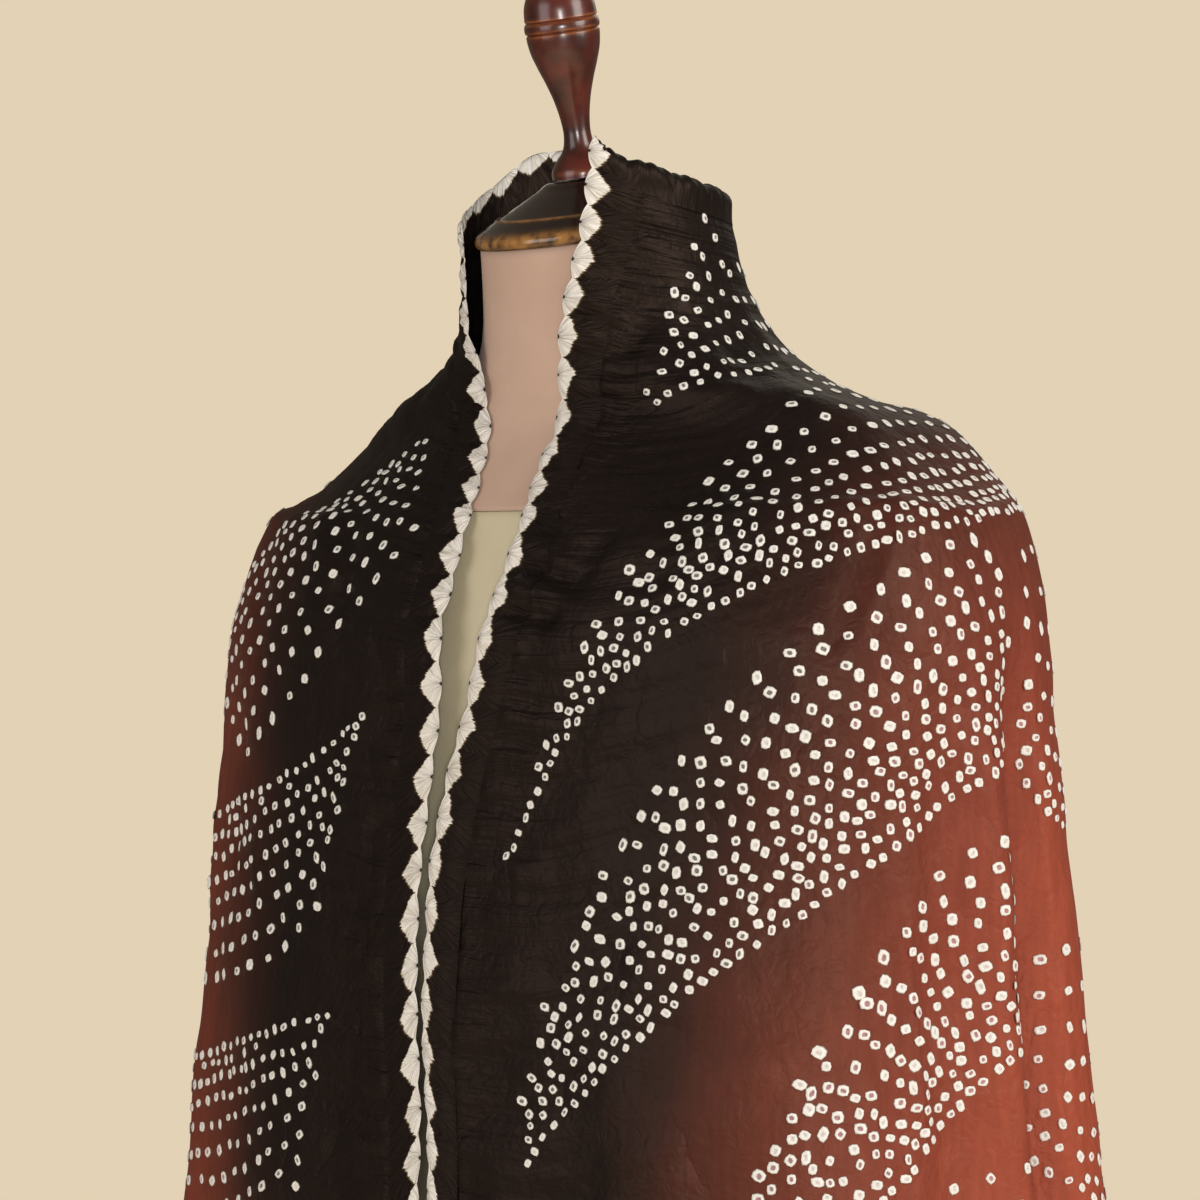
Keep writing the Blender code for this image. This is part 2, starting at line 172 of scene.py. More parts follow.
# Turned profiles: radius and height from top to bottom; a doubled point is a sharp corner
FINIAL_PROFILE = (
    (0.0, 0.1065), (0.0070, 0.1052), (0.0128, 0.1012), (0.0166, 0.0950), (0.0186, 0.0885),
    (0.0190, 0.0830), (0.0190, 0.0830), (0.0183, 0.0823), (0.0183, 0.0823), (0.0192, 0.0814),
    (0.0197, 0.0791), (0.0195, 0.0769), (0.0195, 0.0769), (0.0184, 0.0761), (0.0184, 0.0761),
    (0.0192, 0.0750), (0.0184, 0.0680), (0.0158, 0.0592), (0.0125, 0.0502), (0.0095, 0.0402),
    (0.0076, 0.0302), (0.0071, 0.0240), (0.0076, 0.0188), (0.0092, 0.0142), (0.0122, 0.0105),
    (0.0147, 0.0070), (0.0159, 0.0046), (0.0159, 0.0046), (0.0162, 0.0036), (0.0162, 0.0006),
    (0.0162, 0.0006), (0.0, 0.0),
)
CAP_PROFILE = (
    (0.0, 0.0290), (0.0180, 0.0286), (0.0250, 0.0250), (0.0400, 0.0172), (0.0472, 0.0136),
    (0.0472, 0.0136), (0.0482, 0.0139), (0.0495, 0.0126), (0.0495, 0.0126), (0.0535, 0.0104),
    (0.0585, 0.0074), (0.0606, 0.0052), (0.0612, 0.0034), (0.0608, 0.0010), (0.0598, 0.0),
    (0.0598, 0.0), (0.0, 0.0),
)
BASE_PROFILE = (
    (0.0, BASE_HUB_HEIGHT), (0.0225, BASE_HUB_HEIGHT), (0.0240, 0.0332), (0.0270, 0.0318),
    (0.0300, 0.0298), (0.0300, 0.0298), (0.0480, 0.0262), (0.1200, 0.0222), (0.1880, 0.0184),
    (0.1880, 0.0184), (0.1900, 0.0172), (0.1900, 0.0172), (0.1960, 0.0180), (0.2040, 0.0162),
    (0.2090, 0.0120), (BASE_RADIUS, 0.0080), (0.2095, 0.0030), (0.2070, 0.0), (0.2070, 0.0),
    (0.0, 0.0),
)
POLE_TOP = TORSO_BOTTOM_HEIGHT - PIECE_GAP
POLE_BOTTOM = BASE_HUB_HEIGHT + PIECE_GAP
POLE_PROFILE = (
    (0.0, POLE_TOP), (POLE_RADIUS, POLE_TOP), (POLE_RADIUS, POLE_TOP),
    (POLE_RADIUS, POLE_BOTTOM), (POLE_RADIUS, POLE_BOTTOM), (0.0, POLE_BOTTOM),
)

# Gold marks on the turned pieces, partly rubbed-through lacquer and partly a painted highlight and reflection
# on the cap's rim and ring and the finial's groove edges: radius, height, reach and strength
CAP_WORN_AND_HIGHLIT = ((0.0608, 0.0040, 0.0042, 1.0), (0.0482, 0.0138, 0.0013, 0.9))
FINIAL_WORN_AND_HIGHLIT = (
    (0.0191, 0.0830, 0.0008, 1.0),
    (0.0192, 0.0815, 0.0007, 0.8),
    (0.0195, 0.0770, 0.0007, 0.9),
    (0.0192, 0.0752, 0.0008, 1.0),
    (0.0161, 0.0038, 0.0008, 0.6),
)

# The draped shawl: height, centre y, half width, front, back, squareness
SHAWL_SECTIONS = (
    (0.250, -0.022, 0.2980, 0.1780, 0.1640, 2.4),
    (0.600, -0.022, 0.2900, 0.1700, 0.1560, 2.4),
    (0.800, -0.022, 0.2790, 0.1610, 0.1460, 2.5),
    (0.960, -0.022, 0.2670, 0.1540, 0.1370, 2.5),
    (1.040, -0.022, 0.2590, 0.1500, 0.1320, 2.5),
    (1.115, -0.022, 0.2520, 0.1450, 0.1260, 2.5),
    (1.180, -0.022, 0.2490, 0.1400, 0.1240, 2.5),
    (1.250, -0.022, 0.2450, 0.1380, 0.1310, 2.5),
    (1.285, -0.021, 0.2380, 0.1300, 0.1390, 2.5),
    (1.318, -0.020, 0.2260, 0.1180, 0.1380, 2.5),
    (1.342, -0.014, 0.2020, 0.0980, 0.1310, 2.4),
    (1.360, -0.012, 0.1800, 0.0870, 0.1310, 2.35),
    (1.373, -0.016, 0.1620, 0.0820, 0.1220, 2.2),
    (1.383, -0.022, 0.1430, 0.0790, 0.1130, 2.1),
    (1.393, -0.028, 0.1190, 0.0730, 0.1030, 2.0),
    (1.405, -0.033, 0.0960, 0.0690, 0.0950, 2.0),
    (1.420, -0.037, 0.0820, 0.0680, 0.0870, 2.0),
    (1.450, -0.044, 0.0730, 0.0650, 0.0780, 2.0),
    (1.480, -0.050, 0.0700, 0.0630, 0.0770, 2.0),
    (1.520, -0.056, 0.0680, 0.0610, 0.0740, 2.0),
)

# The shawl's front edges: height, x of the left edge, x of the right edge
FRONT_EDGES = (
    (0.600, 0.023, -0.011),
    (0.800, 0.016, 0.000),
    (1.000, 0.007, 0.000),
    (1.080, -0.001, -0.007),
    (1.130, -0.001, -0.009),
    (1.180, 0.007, -0.005),
    (1.226, 0.022, 0.001),
    (1.270, 0.031, -0.001),
    (1.310, 0.034, -0.004),
    (1.350, 0.022, -0.021),
    (1.390, 0.024, -0.036),
    (1.420, 0.030, -0.044),
    (1.470, 0.043, -0.047),
    (1.520, 0.050, -0.046),
)

# The collar's crest: place from right edge -1 to left edge 1, height, share of the full inward roll
COLLAR = (
    (-1.00, 1.455, 0.0),
    (-0.85, 1.464, 0.0),
    (-0.65, 1.481, 0.0),
    (-0.45, 1.500, 0.0),
    (-0.30, 1.502, 0.2),
    (0.00, 1.488, 0.8),
    (0.35, 1.481, 0.9),
    (0.60, 1.484, 0.9),
    (0.85, 1.492, 0.9),
    (0.95, 1.496, 0.7),
    (1.00, 1.498, 0.2),
)

# The hem: place round the body from the back 0 to a front edge 1, height on the left, height on the right
HEM = (
    (0.00, 0.650, 0.650),
    (0.20, 0.615, 0.610),
    (0.36, 0.520, 0.535),
    (0.50, 0.380, 0.405),
    (0.60, 0.300, 0.320),
    (0.70, 0.365, 0.380),
    (0.84, 0.530, 0.520),
    (1.00, 0.660, 0.645),
)

# The main folds: angle, half width in degrees, depth with ridges positive, height where it starts,
# height where it is whole, degrees of drift for each metre down
FOLDS = (
    (85.0, 3.0, -0.030, 1.30, 1.10, 0.0),
    (73.0, 7.0, 0.014, 1.31, 1.10, 0.0),
    (91.0, 3.4, 0.008, 1.28, 1.12, 0.0),
    (98.5, 4.0, -0.006, 1.26, 1.15, 2.0),
    (106.0, 3.2, 0.004, 1.16, 1.02, 4.0),
    (121.0, 5.0, -0.010, 1.08, 0.80, 6.0),
    (133.0, 5.0, 0.009, 1.12, 0.85, 6.0),
    (147.0, 5.0, -0.008, 1.10, 0.80, 4.0),
    (160.0, 5.0, 0.007, 1.05, 0.80, 2.0),
    (-86.0, 3.6, -0.026, 1.28, 1.06, 0.0),
    (-73.0, 7.0, 0.013, 1.30, 1.08, 0.0),
    (-96.0, 4.0, 0.006, 1.26, 1.12, 0.0),
    (-108.0, 3.2, -0.006, 1.27, 1.18, -2.0),
    (-116.0, 3.4, 0.005, 1.24, 1.12, -4.0),
    (-128.0, 5.0, -0.009, 1.06, 0.82, -4.0),
    (-143.0, 5.5, 0.009, 1.10, 0.84, -4.0),
    (-158.0, 5.0, -0.007, 1.08, 0.80, -2.0),
    (57.0, 5.0, -0.012, 1.24, 0.92, -3.0),
    (44.0, 6.0, 0.011, 1.22, 0.90, -3.0),
    (29.0, 5.5, -0.013, 1.25, 0.88, -2.0),
    (13.0, 6.5, 0.011, 1.24, 0.90, -1.0),
    (-4.0, 5.5, -0.012, 1.26, 0.90, 0.0),
    (-20.0, 6.5, 0.012, 1.24, 0.88, 1.0),
    (-37.0, 5.5, -0.013, 1.22, 0.90, 2.0),
    (-53.0, 6.0, 0.010, 1.24, 0.92, 3.0),
)

# The main creases: angle and height where each starts, angle and height where it ends, half width, depth
CREASES = (
    (98.3, 1.338, 110.6, 1.240, 0.0028, 0.0017),
    (101.5, 1.335, 114, 1.236, 0.0065, -0.0018),
    (104, 1.140, 103, 0.998, 0.0035, 0.0022),
    (107.5, 1.135, 106.5, 1.000, 0.0070, -0.0024),
    (124, 1.335, 150, 1.180, 0.0110, -0.0024),
    (116, 1.345, 142, 1.230, 0.0090, 0.0020),
    (134, 1.340, 158, 1.240, 0.0080, -0.0020),
    (128, 1.140, 152, 1.060, 0.0100, -0.0020),
    (118, 1.060, 146, 0.960, 0.0110, 0.0022),
    (140, 1.180, 162, 1.130, 0.0070, 0.0016),
    (165, 1.296, 147, 1.285, 0.0050, -0.0024),
    (165, 1.284, 143, 1.272, 0.0045, 0.0020),
    (164, 1.270, 148, 1.262, 0.0045, -0.0022),
    (163, 1.256, 140, 1.250, 0.0050, 0.0018),
    (162, 1.228, 146, 1.222, 0.0050, -0.0018),
    (161, 1.204, 149, 1.196, 0.0045, -0.0018),
    (166, 1.335, 150, 1.318, 0.0045, 0.0016),
    (166, 1.322, 148, 1.303, 0.0045, -0.0018),
    (120, 1.430, 140, 1.380, 0.0070, -0.0020),
    (100, 1.440, 124, 1.395, 0.0080, 0.0018),
    (84, 1.425, 110, 1.375, 0.0080, -0.0022),
    (70, 1.430, 84, 1.385, 0.0070, 0.0020),
    (60, 1.420, 66, 1.380, 0.0070, -0.0018),
    (145, 1.452, 130, 1.440, 0.0040, -0.0012),
    (150, 1.432, 128, 1.415, 0.0045, 0.0014),
    (150, 1.424, 132, 1.406, 0.0045, -0.0014),
    (-122, 1.222, -124.5, 1.110, 0.0035, -0.0022),
    (-115, 1.250, -117, 1.090, 0.0050, 0.0020),
    (-131, 1.180, -133, 1.060, 0.0060, 0.0016),
    (-112, 1.345, -132, 1.230, 0.0090, -0.0020),
    (-124, 1.350, -146, 1.270, 0.0080, 0.0018),
    (-136, 1.330, -158, 1.220, 0.0090, -0.0020),
    (-118, 1.200, -136, 1.120, 0.0080, 0.0018),
    (-112, 1.120, -130, 1.020, 0.0090, -0.0020),
    (-130, 1.090, -158, 1.020, 0.0080, 0.0016),
    (-163, 1.190, -146, 1.184, 0.0050, -0.0022),
    (-164, 1.165, -150, 1.160, 0.0045, 0.0018),
    (-164, 1.120, -146, 1.116, 0.0050, -0.0022),
    (-104, 1.425, -126, 1.375, 0.0070, -0.0020),
    (-86, 1.430, -100, 1.385, 0.0070, 0.0018),
    (30, 1.410, 48, 1.320, 0.0100, -0.0022),
    (0, 1.405, 6, 1.290, 0.0110, 0.0020),
    (-30, 1.410, -46, 1.320, 0.0100, -0.0022),
    (16, 1.330, 26, 1.180, 0.0100, 0.0018),
    (-14, 1.330, -22, 1.180, 0.0100, -0.0020),
)

# The dye: distance from the scalloped edge, then red, green and blue as seen on a screen
DYE = (
    (0.000, 22, 18, 17),
    (0.130, 25, 20, 19),
    (0.165, 46, 28, 25),
    (0.200, 80, 41, 33),
    (0.235, 108, 54, 42),
    (0.280, 130, 62, 48),
    (0.340, 152, 73, 55),
    (0.450, 164, 78, 58),
    (0.800, 148, 66, 46),
)
DYE_REACH = DYE[-1][0]

# Bands of tied dots: angle and height of three points on the dense edge, the same on the sparse edge,
# number of rows, spacing in the densest row and in the sparsest
DOT_BANDS = (
    (134, 1.376, 110, 1.390, 86, 1.398, 106, 1.438, 92, 1.458, 72, 1.478, 8, 0.0094, 0.0165),
    (84, 1.392, 58, 1.388, 20, 1.392, 80, 1.440, 56, 1.446, 24, 1.436, 6, 0.0092, 0.0150),
    (160, 1.146, 124, 1.274, 70, 1.322, 155, 1.176, 116, 1.356, 64, 1.372, 11, 0.0080, 0.0160),
    (155, 0.996, 118, 1.118, 86, 1.206, 155, 1.046, 120, 1.236, 86, 1.308, 15, 0.0082, 0.0180),
    (83, 1.196, 74, 1.162, 58, 1.196, 83, 1.290, 72, 1.300, 58, 1.288, 10, 0.0092, 0.0200),
    (132, 0.874, 108, 0.992, 87, 1.066, 126, 0.956, 106, 1.108, 87, 1.162, 13, 0.0084, 0.0185),
    (83, 1.000, 74, 0.978, 60, 1.010, 83, 1.092, 74, 1.104, 60, 1.094, 9, 0.0094, 0.0205),
    (156, 0.752, 124, 0.836, 90, 0.900, 150, 0.830, 122, 0.944, 90, 1.000, 10, 0.0096, 0.0220),
    (84, 0.800, 74, 0.780, 60, 0.806, 84, 0.900, 74, 0.914, 60, 0.900, 9, 0.0096, 0.0210),
    (136, 0.590, 112, 0.670, 84, 0.700, 136, 0.650, 110, 0.770, 84, 0.800, 9, 0.0100, 0.0220),
    (110, 0.430, 98, 0.470, 78, 0.480, 114, 0.520, 98, 0.580, 76, 0.590, 8, 0.0100, 0.0220),
    (-136, 1.362, -119, 1.306, -102, 1.236, -161, 1.316, -146, 1.250, -124, 1.192, 9, 0.0090, 0.0180),
    (-158, 1.216, -138, 1.184, -106, 1.150, -149, 1.146, -142, 1.098, -110, 1.066, 9, 0.0090, 0.0180),
    (-154, 1.062, -134, 1.046, -104, 1.016, -150, 0.982, -138, 0.950, -108, 0.922, 9, 0.0092, 0.0190),
    (-156, 0.900, -134, 0.876, -104, 0.846, -152, 0.816, -136, 0.780, -106, 0.752, 9, 0.0096, 0.0200),
    (-146, 0.700, -126, 0.690, -98, 0.670, -140, 0.620, -124, 0.596, -98, 0.580, 8, 0.0100, 0.0210),
    (-116, 0.520, -104, 0.510, -84, 0.500, -110, 0.440, -100, 0.424, -84, 0.420, 7, 0.0100, 0.0210),
    (-66, 1.322, -84, 1.300, -98, 1.246, -64, 1.370, -92, 1.350, -112, 1.338, 7, 0.0094, 0.0190),
    (-78, 1.120, -68, 1.096, -56, 1.120, -80, 1.200, -68, 1.210, -56, 1.196, 8, 0.0096, 0.0200),
    (-80, 0.930, -70, 0.906, -58, 0.930, -82, 1.016, -70, 1.028, -58, 1.012, 8, 0.0096, 0.0200),
    (56, 1.322, 0, 1.236, -56, 1.322, 58, 1.370, 0, 1.352, -58, 1.370, 8, 0.0096, 0.0200),
    (54, 1.120, 28, 1.040, 2, 1.120, 52, 1.230, 28, 1.175, 4, 1.222, 10, 0.0098, 0.0220),
    (-2, 1.120, -28, 1.040, -54, 1.120, -4, 1.222, -28, 1.175, -52, 1.230, 10, 0.0098, 0.0220),
    (54, 0.930, 28, 0.850, 2, 0.930, 52, 1.040, 28, 0.985, 4, 1.032, 10, 0.0098, 0.0220),
    (-2, 0.930, -28, 0.850, -54, 0.930, -4, 1.032, -28, 0.985, -52, 1.040, 10, 0.0098, 0.0220),
    (52, 0.740, 28, 0.690, 4, 0.740, 50, 0.850, 28, 0.800, 6, 0.842, 9, 0.0100, 0.0220),
    (-4, 0.740, -28, 0.690, -52, 0.740, -6, 0.842, -28, 0.800, -50, 0.850, 9, 0.0100, 0.0220),
)


def eased(share):
    """A share from 0 to 1 with soft ends."""
    share = np.clip(share, 0.0, 1.0)
    return share * share * (3.0 - 2.0 * share)


def read_table(table, wanted):
    """The table's later columns at wanted values of its first, on curves that never overshoot its rows."""
    rows = np.array(table)
    keys = rows[:, 0]
    values = rows[:, 1:]
    gaps = np.diff(keys)[:, None]
    rises = np.diff(values, axis=0) / gaps
    slopes = np.zeros_like(values)
    product = rises[:-1] * rises[1:]
    together = np.where(product > 0.0, rises[:-1] + rises[1:], 1.0)
    slopes[1:-1] = np.where(product > 0.0, 2.0 * product / together, 0.0)
    slopes[0] = rises[0]
    slopes[-1] = rises[-1]
    wanted = np.clip(np.asarray(wanted, dtype=float), keys[0], keys[-1])
    low = np.clip(np.searchsorted(keys, wanted, side="right") - 1, 0, len(keys) - 2)
    gap = np.diff(keys)[low][..., None]
    share = (wanted[..., None] - keys[low][..., None]) / gap
    start = values[low] * (1 + 2 * share) * (1 - share) ** 2 + slopes[low] * gap * share * (1 - share) ** 2
    end = values[low + 1] * share**2 * (3 - 2 * share) + slopes[low + 1] * gap * share**2 * (share - 1)
    return np.moveaxis(start + end, -1, 0)


def to_linear(value):
    """A screen colour value from 0 to 255 as the linear value that shaders take."""
    value = value / 255.0
    return value / 12.92 if value <= 0.04045 else ((value + 0.055) / 1.055) ** 2.4


def colour(red, green, blue):
    return (to_linear(red), to_linear(green), to_linear(blue), 1.0)


# Materials: small helpers first, then one function for each surface


def new_material(name, roughness, **sockets):
    material = bpy.data.materials.new(name)
    material.use_nodes = True
    shader = material.node_tree.nodes["Principled BSDF"]
    shader.inputs["Roughness"].default_value = roughness
    for socket, value in sockets.items():
        shader.inputs[socket.replace("_", " ")].default_value = value
    return material, material.node_tree, shader


def add_node(tree, kind, **settings):
    node = tree.nodes.new(kind)
    for key, value in settings.items():
        if key in node.inputs:
            node.inputs[key].default_value = value
        else:
            setattr(node, key, value)
    return node


def object_place(tree):
    return add_node(tree, "ShaderNodeTexCoord").outputs["Object"]


def split(tree, vector):
    parts = tree.nodes.new("ShaderNodeSeparateXYZ")
    tree.links.new(vector, parts.inputs[0])
    return parts.outputs


def add_math(tree, operation, first, second=None, third=None, clamp=False):
    node = tree.nodes.new("ShaderNodeMath")
    node.operation = operation
    node.use_clamp = clamp
    for socket, value in zip(node.inputs, (first, second, third)):
        if value is None:
            continue
        if isinstance(value, (int, float)):
            socket.default_value = value
        else:
            tree.links.new(value, socket)
    return node.outputs[0]


def add_ramp(tree, source, stops):
    ramp = tree.nodes.new("ShaderNodeValToRGB")
    elements = ramp.color_ramp.elements
    while len(elements) < len(stops):
        elements.new(0.5)
    for element, (place, tint) in zip(elements, stops):
        element.position = place
        element.color = tint
    tree.links.new(source, ramp.inputs["Fac"])
    return ramp.outputs["Color"]


def add_mix(tree, share, first, second, blend="MIX"):
    mix = tree.nodes.new("ShaderNodeMix")
    mix.data_type = "RGBA"
    mix.blend_type = blend
    for socket, value in ((mix.inputs["Factor"], share), (mix.inputs["A"], first), (mix.inputs["B"], second)):
        if isinstance(value, bpy.types.NodeSocket):
            tree.links.new(value, socket)
        else:
            socket.default_value = value
    return mix.outputs["Result"]


def add_noise(tree, vector, scale, detail=2.0, roughness=0.5, distortion=0.0):
    node = add_node(tree, "ShaderNodeTexNoise", Scale=scale, Detail=detail, Roughness=roughness)
    node.inputs["Distortion"].default_value = distortion
    tree.links.new(vector, node.inputs["Vector"])
    return node.outputs["Fac"]


def add_mapping(tree, vector, scale):
    node = tree.nodes.new("ShaderNodeMapping")
    node.inputs["Scale"].default_value = scale
    tree.links.new(vector, node.inputs["Vector"])
    return node.outputs["Vector"]


def add_bump(tree, shader, height, distance, strength=1.0, before=None):
    bump = add_node(tree, "ShaderNodeBump", Distance=distance, Strength=strength)
    tree.links.new(height, bump.inputs["Height"])
    if before is not None:
        tree.links.new(before, bump.inputs["Normal"])
    tree.links.new(bump.outputs["Normal"], shader.inputs["Normal"])
    return bump.outputs["Normal"]


def add_clouds(tree, shader, place, scale, detail, dark, light):
    """Gives a surface two close tints, clouded over it."""
    cloud = add_noise(tree, place, scale, detail=detail)
    tint = add_ramp(tree, cloud, [(0.30, colour(*dark)), (0.70, colour(*light))])
    tree.links.new(tint, shader.inputs["Base Color"])


def satin(name):
    """The plain finish that the cloth and its border share."""
    return new_material(
        name, CLOTH_ROUGHNESS, Specular_IOR_Level=CLOTH_SPECULAR, Specular_Tint=colour(*CLOTH_GLINT)
    )


def dye_colour(tree, t):
    """The dyed cloth's colour from its distance to the scalloped edge, clouded a little."""
    place = object_place(tree)
    cloud = add_noise(tree, place, 14.0, detail=3.0)
    shift = add_math(tree, "MULTIPLY_ADD", cloud, 0.05, -0.025)
    reach = add_math(tree, "ADD", t, shift)
    share = add_math(tree, "DIVIDE", reach, DYE_REACH, clamp=True)
    dyed = add_ramp(tree, share, [(at / DYE_REACH, colour(*tint)) for at, *tint in DYE])
    streaks = add_noise(tree, add_mapping(tree, place, (1.0, 1.0, 0.16)), 240.0, detail=2.0)
    tone = add_ramp(tree, streaks, [(0.30, (0.80, 0.80, 0.80, 1.0)), (0.70, (1.16, 1.16, 1.16, 1.0))])
    return add_mix(tree, 0.5, dyed, tone, "MULTIPLY"), place


def crumple(tree, place):
    """Soft pinched creases, as tied silk keeps them after washing."""
    warp = add_noise(tree, place, 22.0, detail=2.0)
    broad = add_noise(tree, add_mapping(tree, place, (1.0, 1.0, 0.8)), 20.0, detail=4.0, distortion=0.3)
    ridge = add_math(tree, "ABSOLUTE", add_math(tree, "SUBTRACT", broad, 0.5))
    fine = add_noise(tree, place, 120.0, detail=3.0, distortion=0.5)
    fine_ridge = add_math(tree, "ABSOLUTE", add_math(tree, "SUBTRACT", fine, 0.5))
    both = add_math(tree, "MULTIPLY_ADD", fine_ridge, 0.35, add_math(tree, "POWER", ridge, 0.7))
    return add_math(tree, "MULTIPLY", both, add_math(tree, "MULTIPLY_ADD", warp, 0.8, 0.6))


def gathers(tree, uv):
    """Fine creases that run into the cloth from the tied edge and die out."""
    along = add_mapping(tree, uv, (150.0, 13.0, 1.0))
    ripple = add_noise(tree, along, 1.0, detail=3.0, roughness=0.5, distortion=0.7)
    fade = add_math(tree, "POWER", 2.718, add_math(tree, "MULTIPLY", split(tree, uv)["Y"], -22.0))
    return add_math(tree, "MULTIPLY", ripple, fade)


def cloth_material():
    material, tree, shader = satin("dyed_satin")
    uv = add_node(tree, "ShaderNodeUVMap", uv_map="cloth").outputs["UV"]
    dyed, place = dye_colour(tree, split(tree, uv)["Y"])
    tree.links.new(dyed, shader.inputs["Base Color"])
    thread = add_noise(tree, add_mapping(tree, place, (1.0, 1.0, 0.25)), 1500.0, detail=1.0)
    bumped = add_bump(tree, shader, thread, 0.00008, 0.6)
    bumped = add_bump(tree, shader, crumple(tree, place), 0.0040, 0.8, bumped)
    add_bump(tree, shader, gathers(tree, uv), 0.0075, 1.0, bumped)
    return material


def border_material():
    """Undyed scallops with a dark pinched point between each two, on the black edge of the cloth."""
    material, tree, shader = satin("scallop_border")
    uv = add_node(tree, "ShaderNodeUVMap", uv_map="petal").outputs["UV"]
    parts = split(tree, uv)
    petal = parts["X"]
    t = parts["Y"]
    wobble = add_noise(tree, add_mapping(tree, uv, (1.1, 30.0, 1.0)), 1.0, detail=2.0)
    shifted = add_math(tree, "MULTIPLY_ADD", wobble, 0.30, add_math(tree, "SUBTRACT", petal, 0.15))
    across = add_math(tree, "SUBTRACT", add_math(tree, "FRACT", shifted), 0.5)
    side = add_math(tree, "ABSOLUTE", across)
    peak = add_math(tree, "SUBTRACT", 1.0, add_math(tree, "MULTIPLY", side, 2.0))
    peak = add_math(tree, "POWER", peak, 0.62)
    size = add_noise(tree, add_mapping(tree, uv, (0.9, 0.0, 1.0)), 1.0)
    tall = add_math(tree, "MULTIPLY_ADD", size, 0.009, PETAL_DEPTH - 0.0045)
    taller = add_math(tree, "SUBTRACT", tall, PINCH_DEPTH)
    depth = add_math(tree, "MULTIPLY_ADD", peak, taller, PINCH_DEPTH)
    jag = add_noise(tree, add_mapping(tree, uv, (26.0, 60.0, 1.0)), 1.0, detail=3.0, roughness=0.7)
    depth = add_math(tree, "ADD", depth, add_math(tree, "MULTIPLY_ADD", jag, 0.0046, -0.0023))
    inside = add_math(tree, "SUBTRACT", depth, t)
    white = add_math(tree, "MULTIPLY_ADD", inside, 2600.0, 0.5, clamp=True)
    halo = add_math(tree, "MULTIPLY_ADD", inside, 900.0, 1.0, clamp=True)
    sideways = add_math(tree, "MULTIPLY", across, PETAL_PITCH)
    angle = add_math(tree, "ARCTAN2", sideways, add_math(tree, "ADD", t, PETAL_ROOT))
    rays = add_node(tree, "ShaderNodeCombineXYZ")
    tree.links.new(add_math(tree, "MULTIPLY", angle, 5.5), rays.inputs["X"])
    tree.links.new(add_math(tree, "FLOOR", shifted), rays.inputs["Y"])
    tree.links.new(add_math(tree, "MULTIPLY", t, 40.0), rays.inputs["Z"])
    pleats = add_noise(tree, rays.outputs["Vector"], 1.6, detail=2.0, roughness=0.6)
    # The petals' white goes grey where the pleat noise is low, the same noise that sinks the bump below:
    # painted shade in the pleats' hollows
    pleat_whites_with_painted_shade = [(0.30, colour(206, 199, 186)), (0.50, colour(244, 241, 234)), (0.75, colour(252, 251, 248))]
    pale = add_ramp(tree, pleats, pleat_whites_with_painted_shade)
    rim = add_mix(tree, halo, colour(*DYE[0][1:]), colour(*PETAL_HALO))
    shown = add_mix(tree, white, rim, pale)
    squares = [add_math(tree, "POWER", run, 2.0) for run in (sideways, t)]
    knot = add_math(tree, "SQRT", add_math(tree, "ADD", *squares))
    bare = add_math(tree, "MULTIPLY_ADD", knot, 1400.0, -1.1, clamp=True)
    shown = add_mix(tree, bare, colour(48, 40, 34), shown)
    tree.links.new(shown, shader.inputs["Base Color"])
    add_bump(tree, shader, pleats, 0.0016, 0.9)
    return material


def dot_material():
    """Resisted dots whose tints are stored at their points: dark pit, pale ring, tinted rim."""
    material, tree, shader = new_material("tied_dots", 0.62, Specular_IOR_Level=0.28)
    tint = add_node(tree, "ShaderNodeAttribute", attribute_name="tint").outputs["Color"]
    place = object_place(tree)
    fibre = add_noise(tree, place, 900.0, detail=2.0)
    mottled = add_ramp(tree, fibre, [(0.3, (0.84, 0.84, 0.82, 1.0)), (0.65, (1.0, 1.0, 1.0, 1.0))])
    tree.links.new(add_mix(tree, 0.8, tint, mottled, "MULTIPLY"), shader.inputs["Base Color"])
    add_bump(tree, shader, fibre, 0.0003, 0.7)
    return material


def jersey_material():
    material, tree, shader = new_material("taupe_cover", 0.82, Sheen_Weight=0.15, Sheen_Roughness=0.5)
    place = object_place(tree)
    add_clouds(tree, shader, place, 26.0, 4.0, (196, 165, 146), (206, 176, 157))
    knit = add_noise(tree, add_mapping(tree, place, (1.0, 1.0, 0.4)), 1300.0, detail=2.0)
    bumped = add_bump(tree, shader, knit, 0.0002, 0.6)
    add_bump(tree, shader, add_noise(tree, place, 60.0, detail=2.0), 0.0008, 0.5, bumped)
    return material


def cover_material():
    material, tree, shader = new_material("cream_cotton", 0.88)
    place = object_place(tree)
    add_clouds(tree, shader, place, 18.0, 4.0, (204, 195, 164), (214, 206, 178))
    weave = add_noise(tree, place, 1200.0, detail=2.0)
    bumped = add_bump(tree, shader, weave, 0.0002, 0.7)
    add_bump(tree, shader, add_noise(tree, place, 45.0, detail=2.0), 0.0010, 0.5, bumped)
    return material


def wood_material(name, dark, light, roughness, coat):
    """Lacquered turned wood with a faint grain along the turning axis."""
    material, tree, shader = new_material(name, roughness, Coat_Weight=coat, Coat_Roughness=0.08)
    place = object_place(tree)
    grain = add_noise(tree, add_mapping(tree, place, (1.0, 1.0, 0.12)), 90.0, detail=5.0, distortion=0.6)
    tint = add_ramp(tree, grain, [(0.32, dark), (0.68, light)])
    tree.links.new(tint, shader.inputs["Base Color"])
    add_bump(tree, shader, grain, 0.0002, 0.25)
    return material


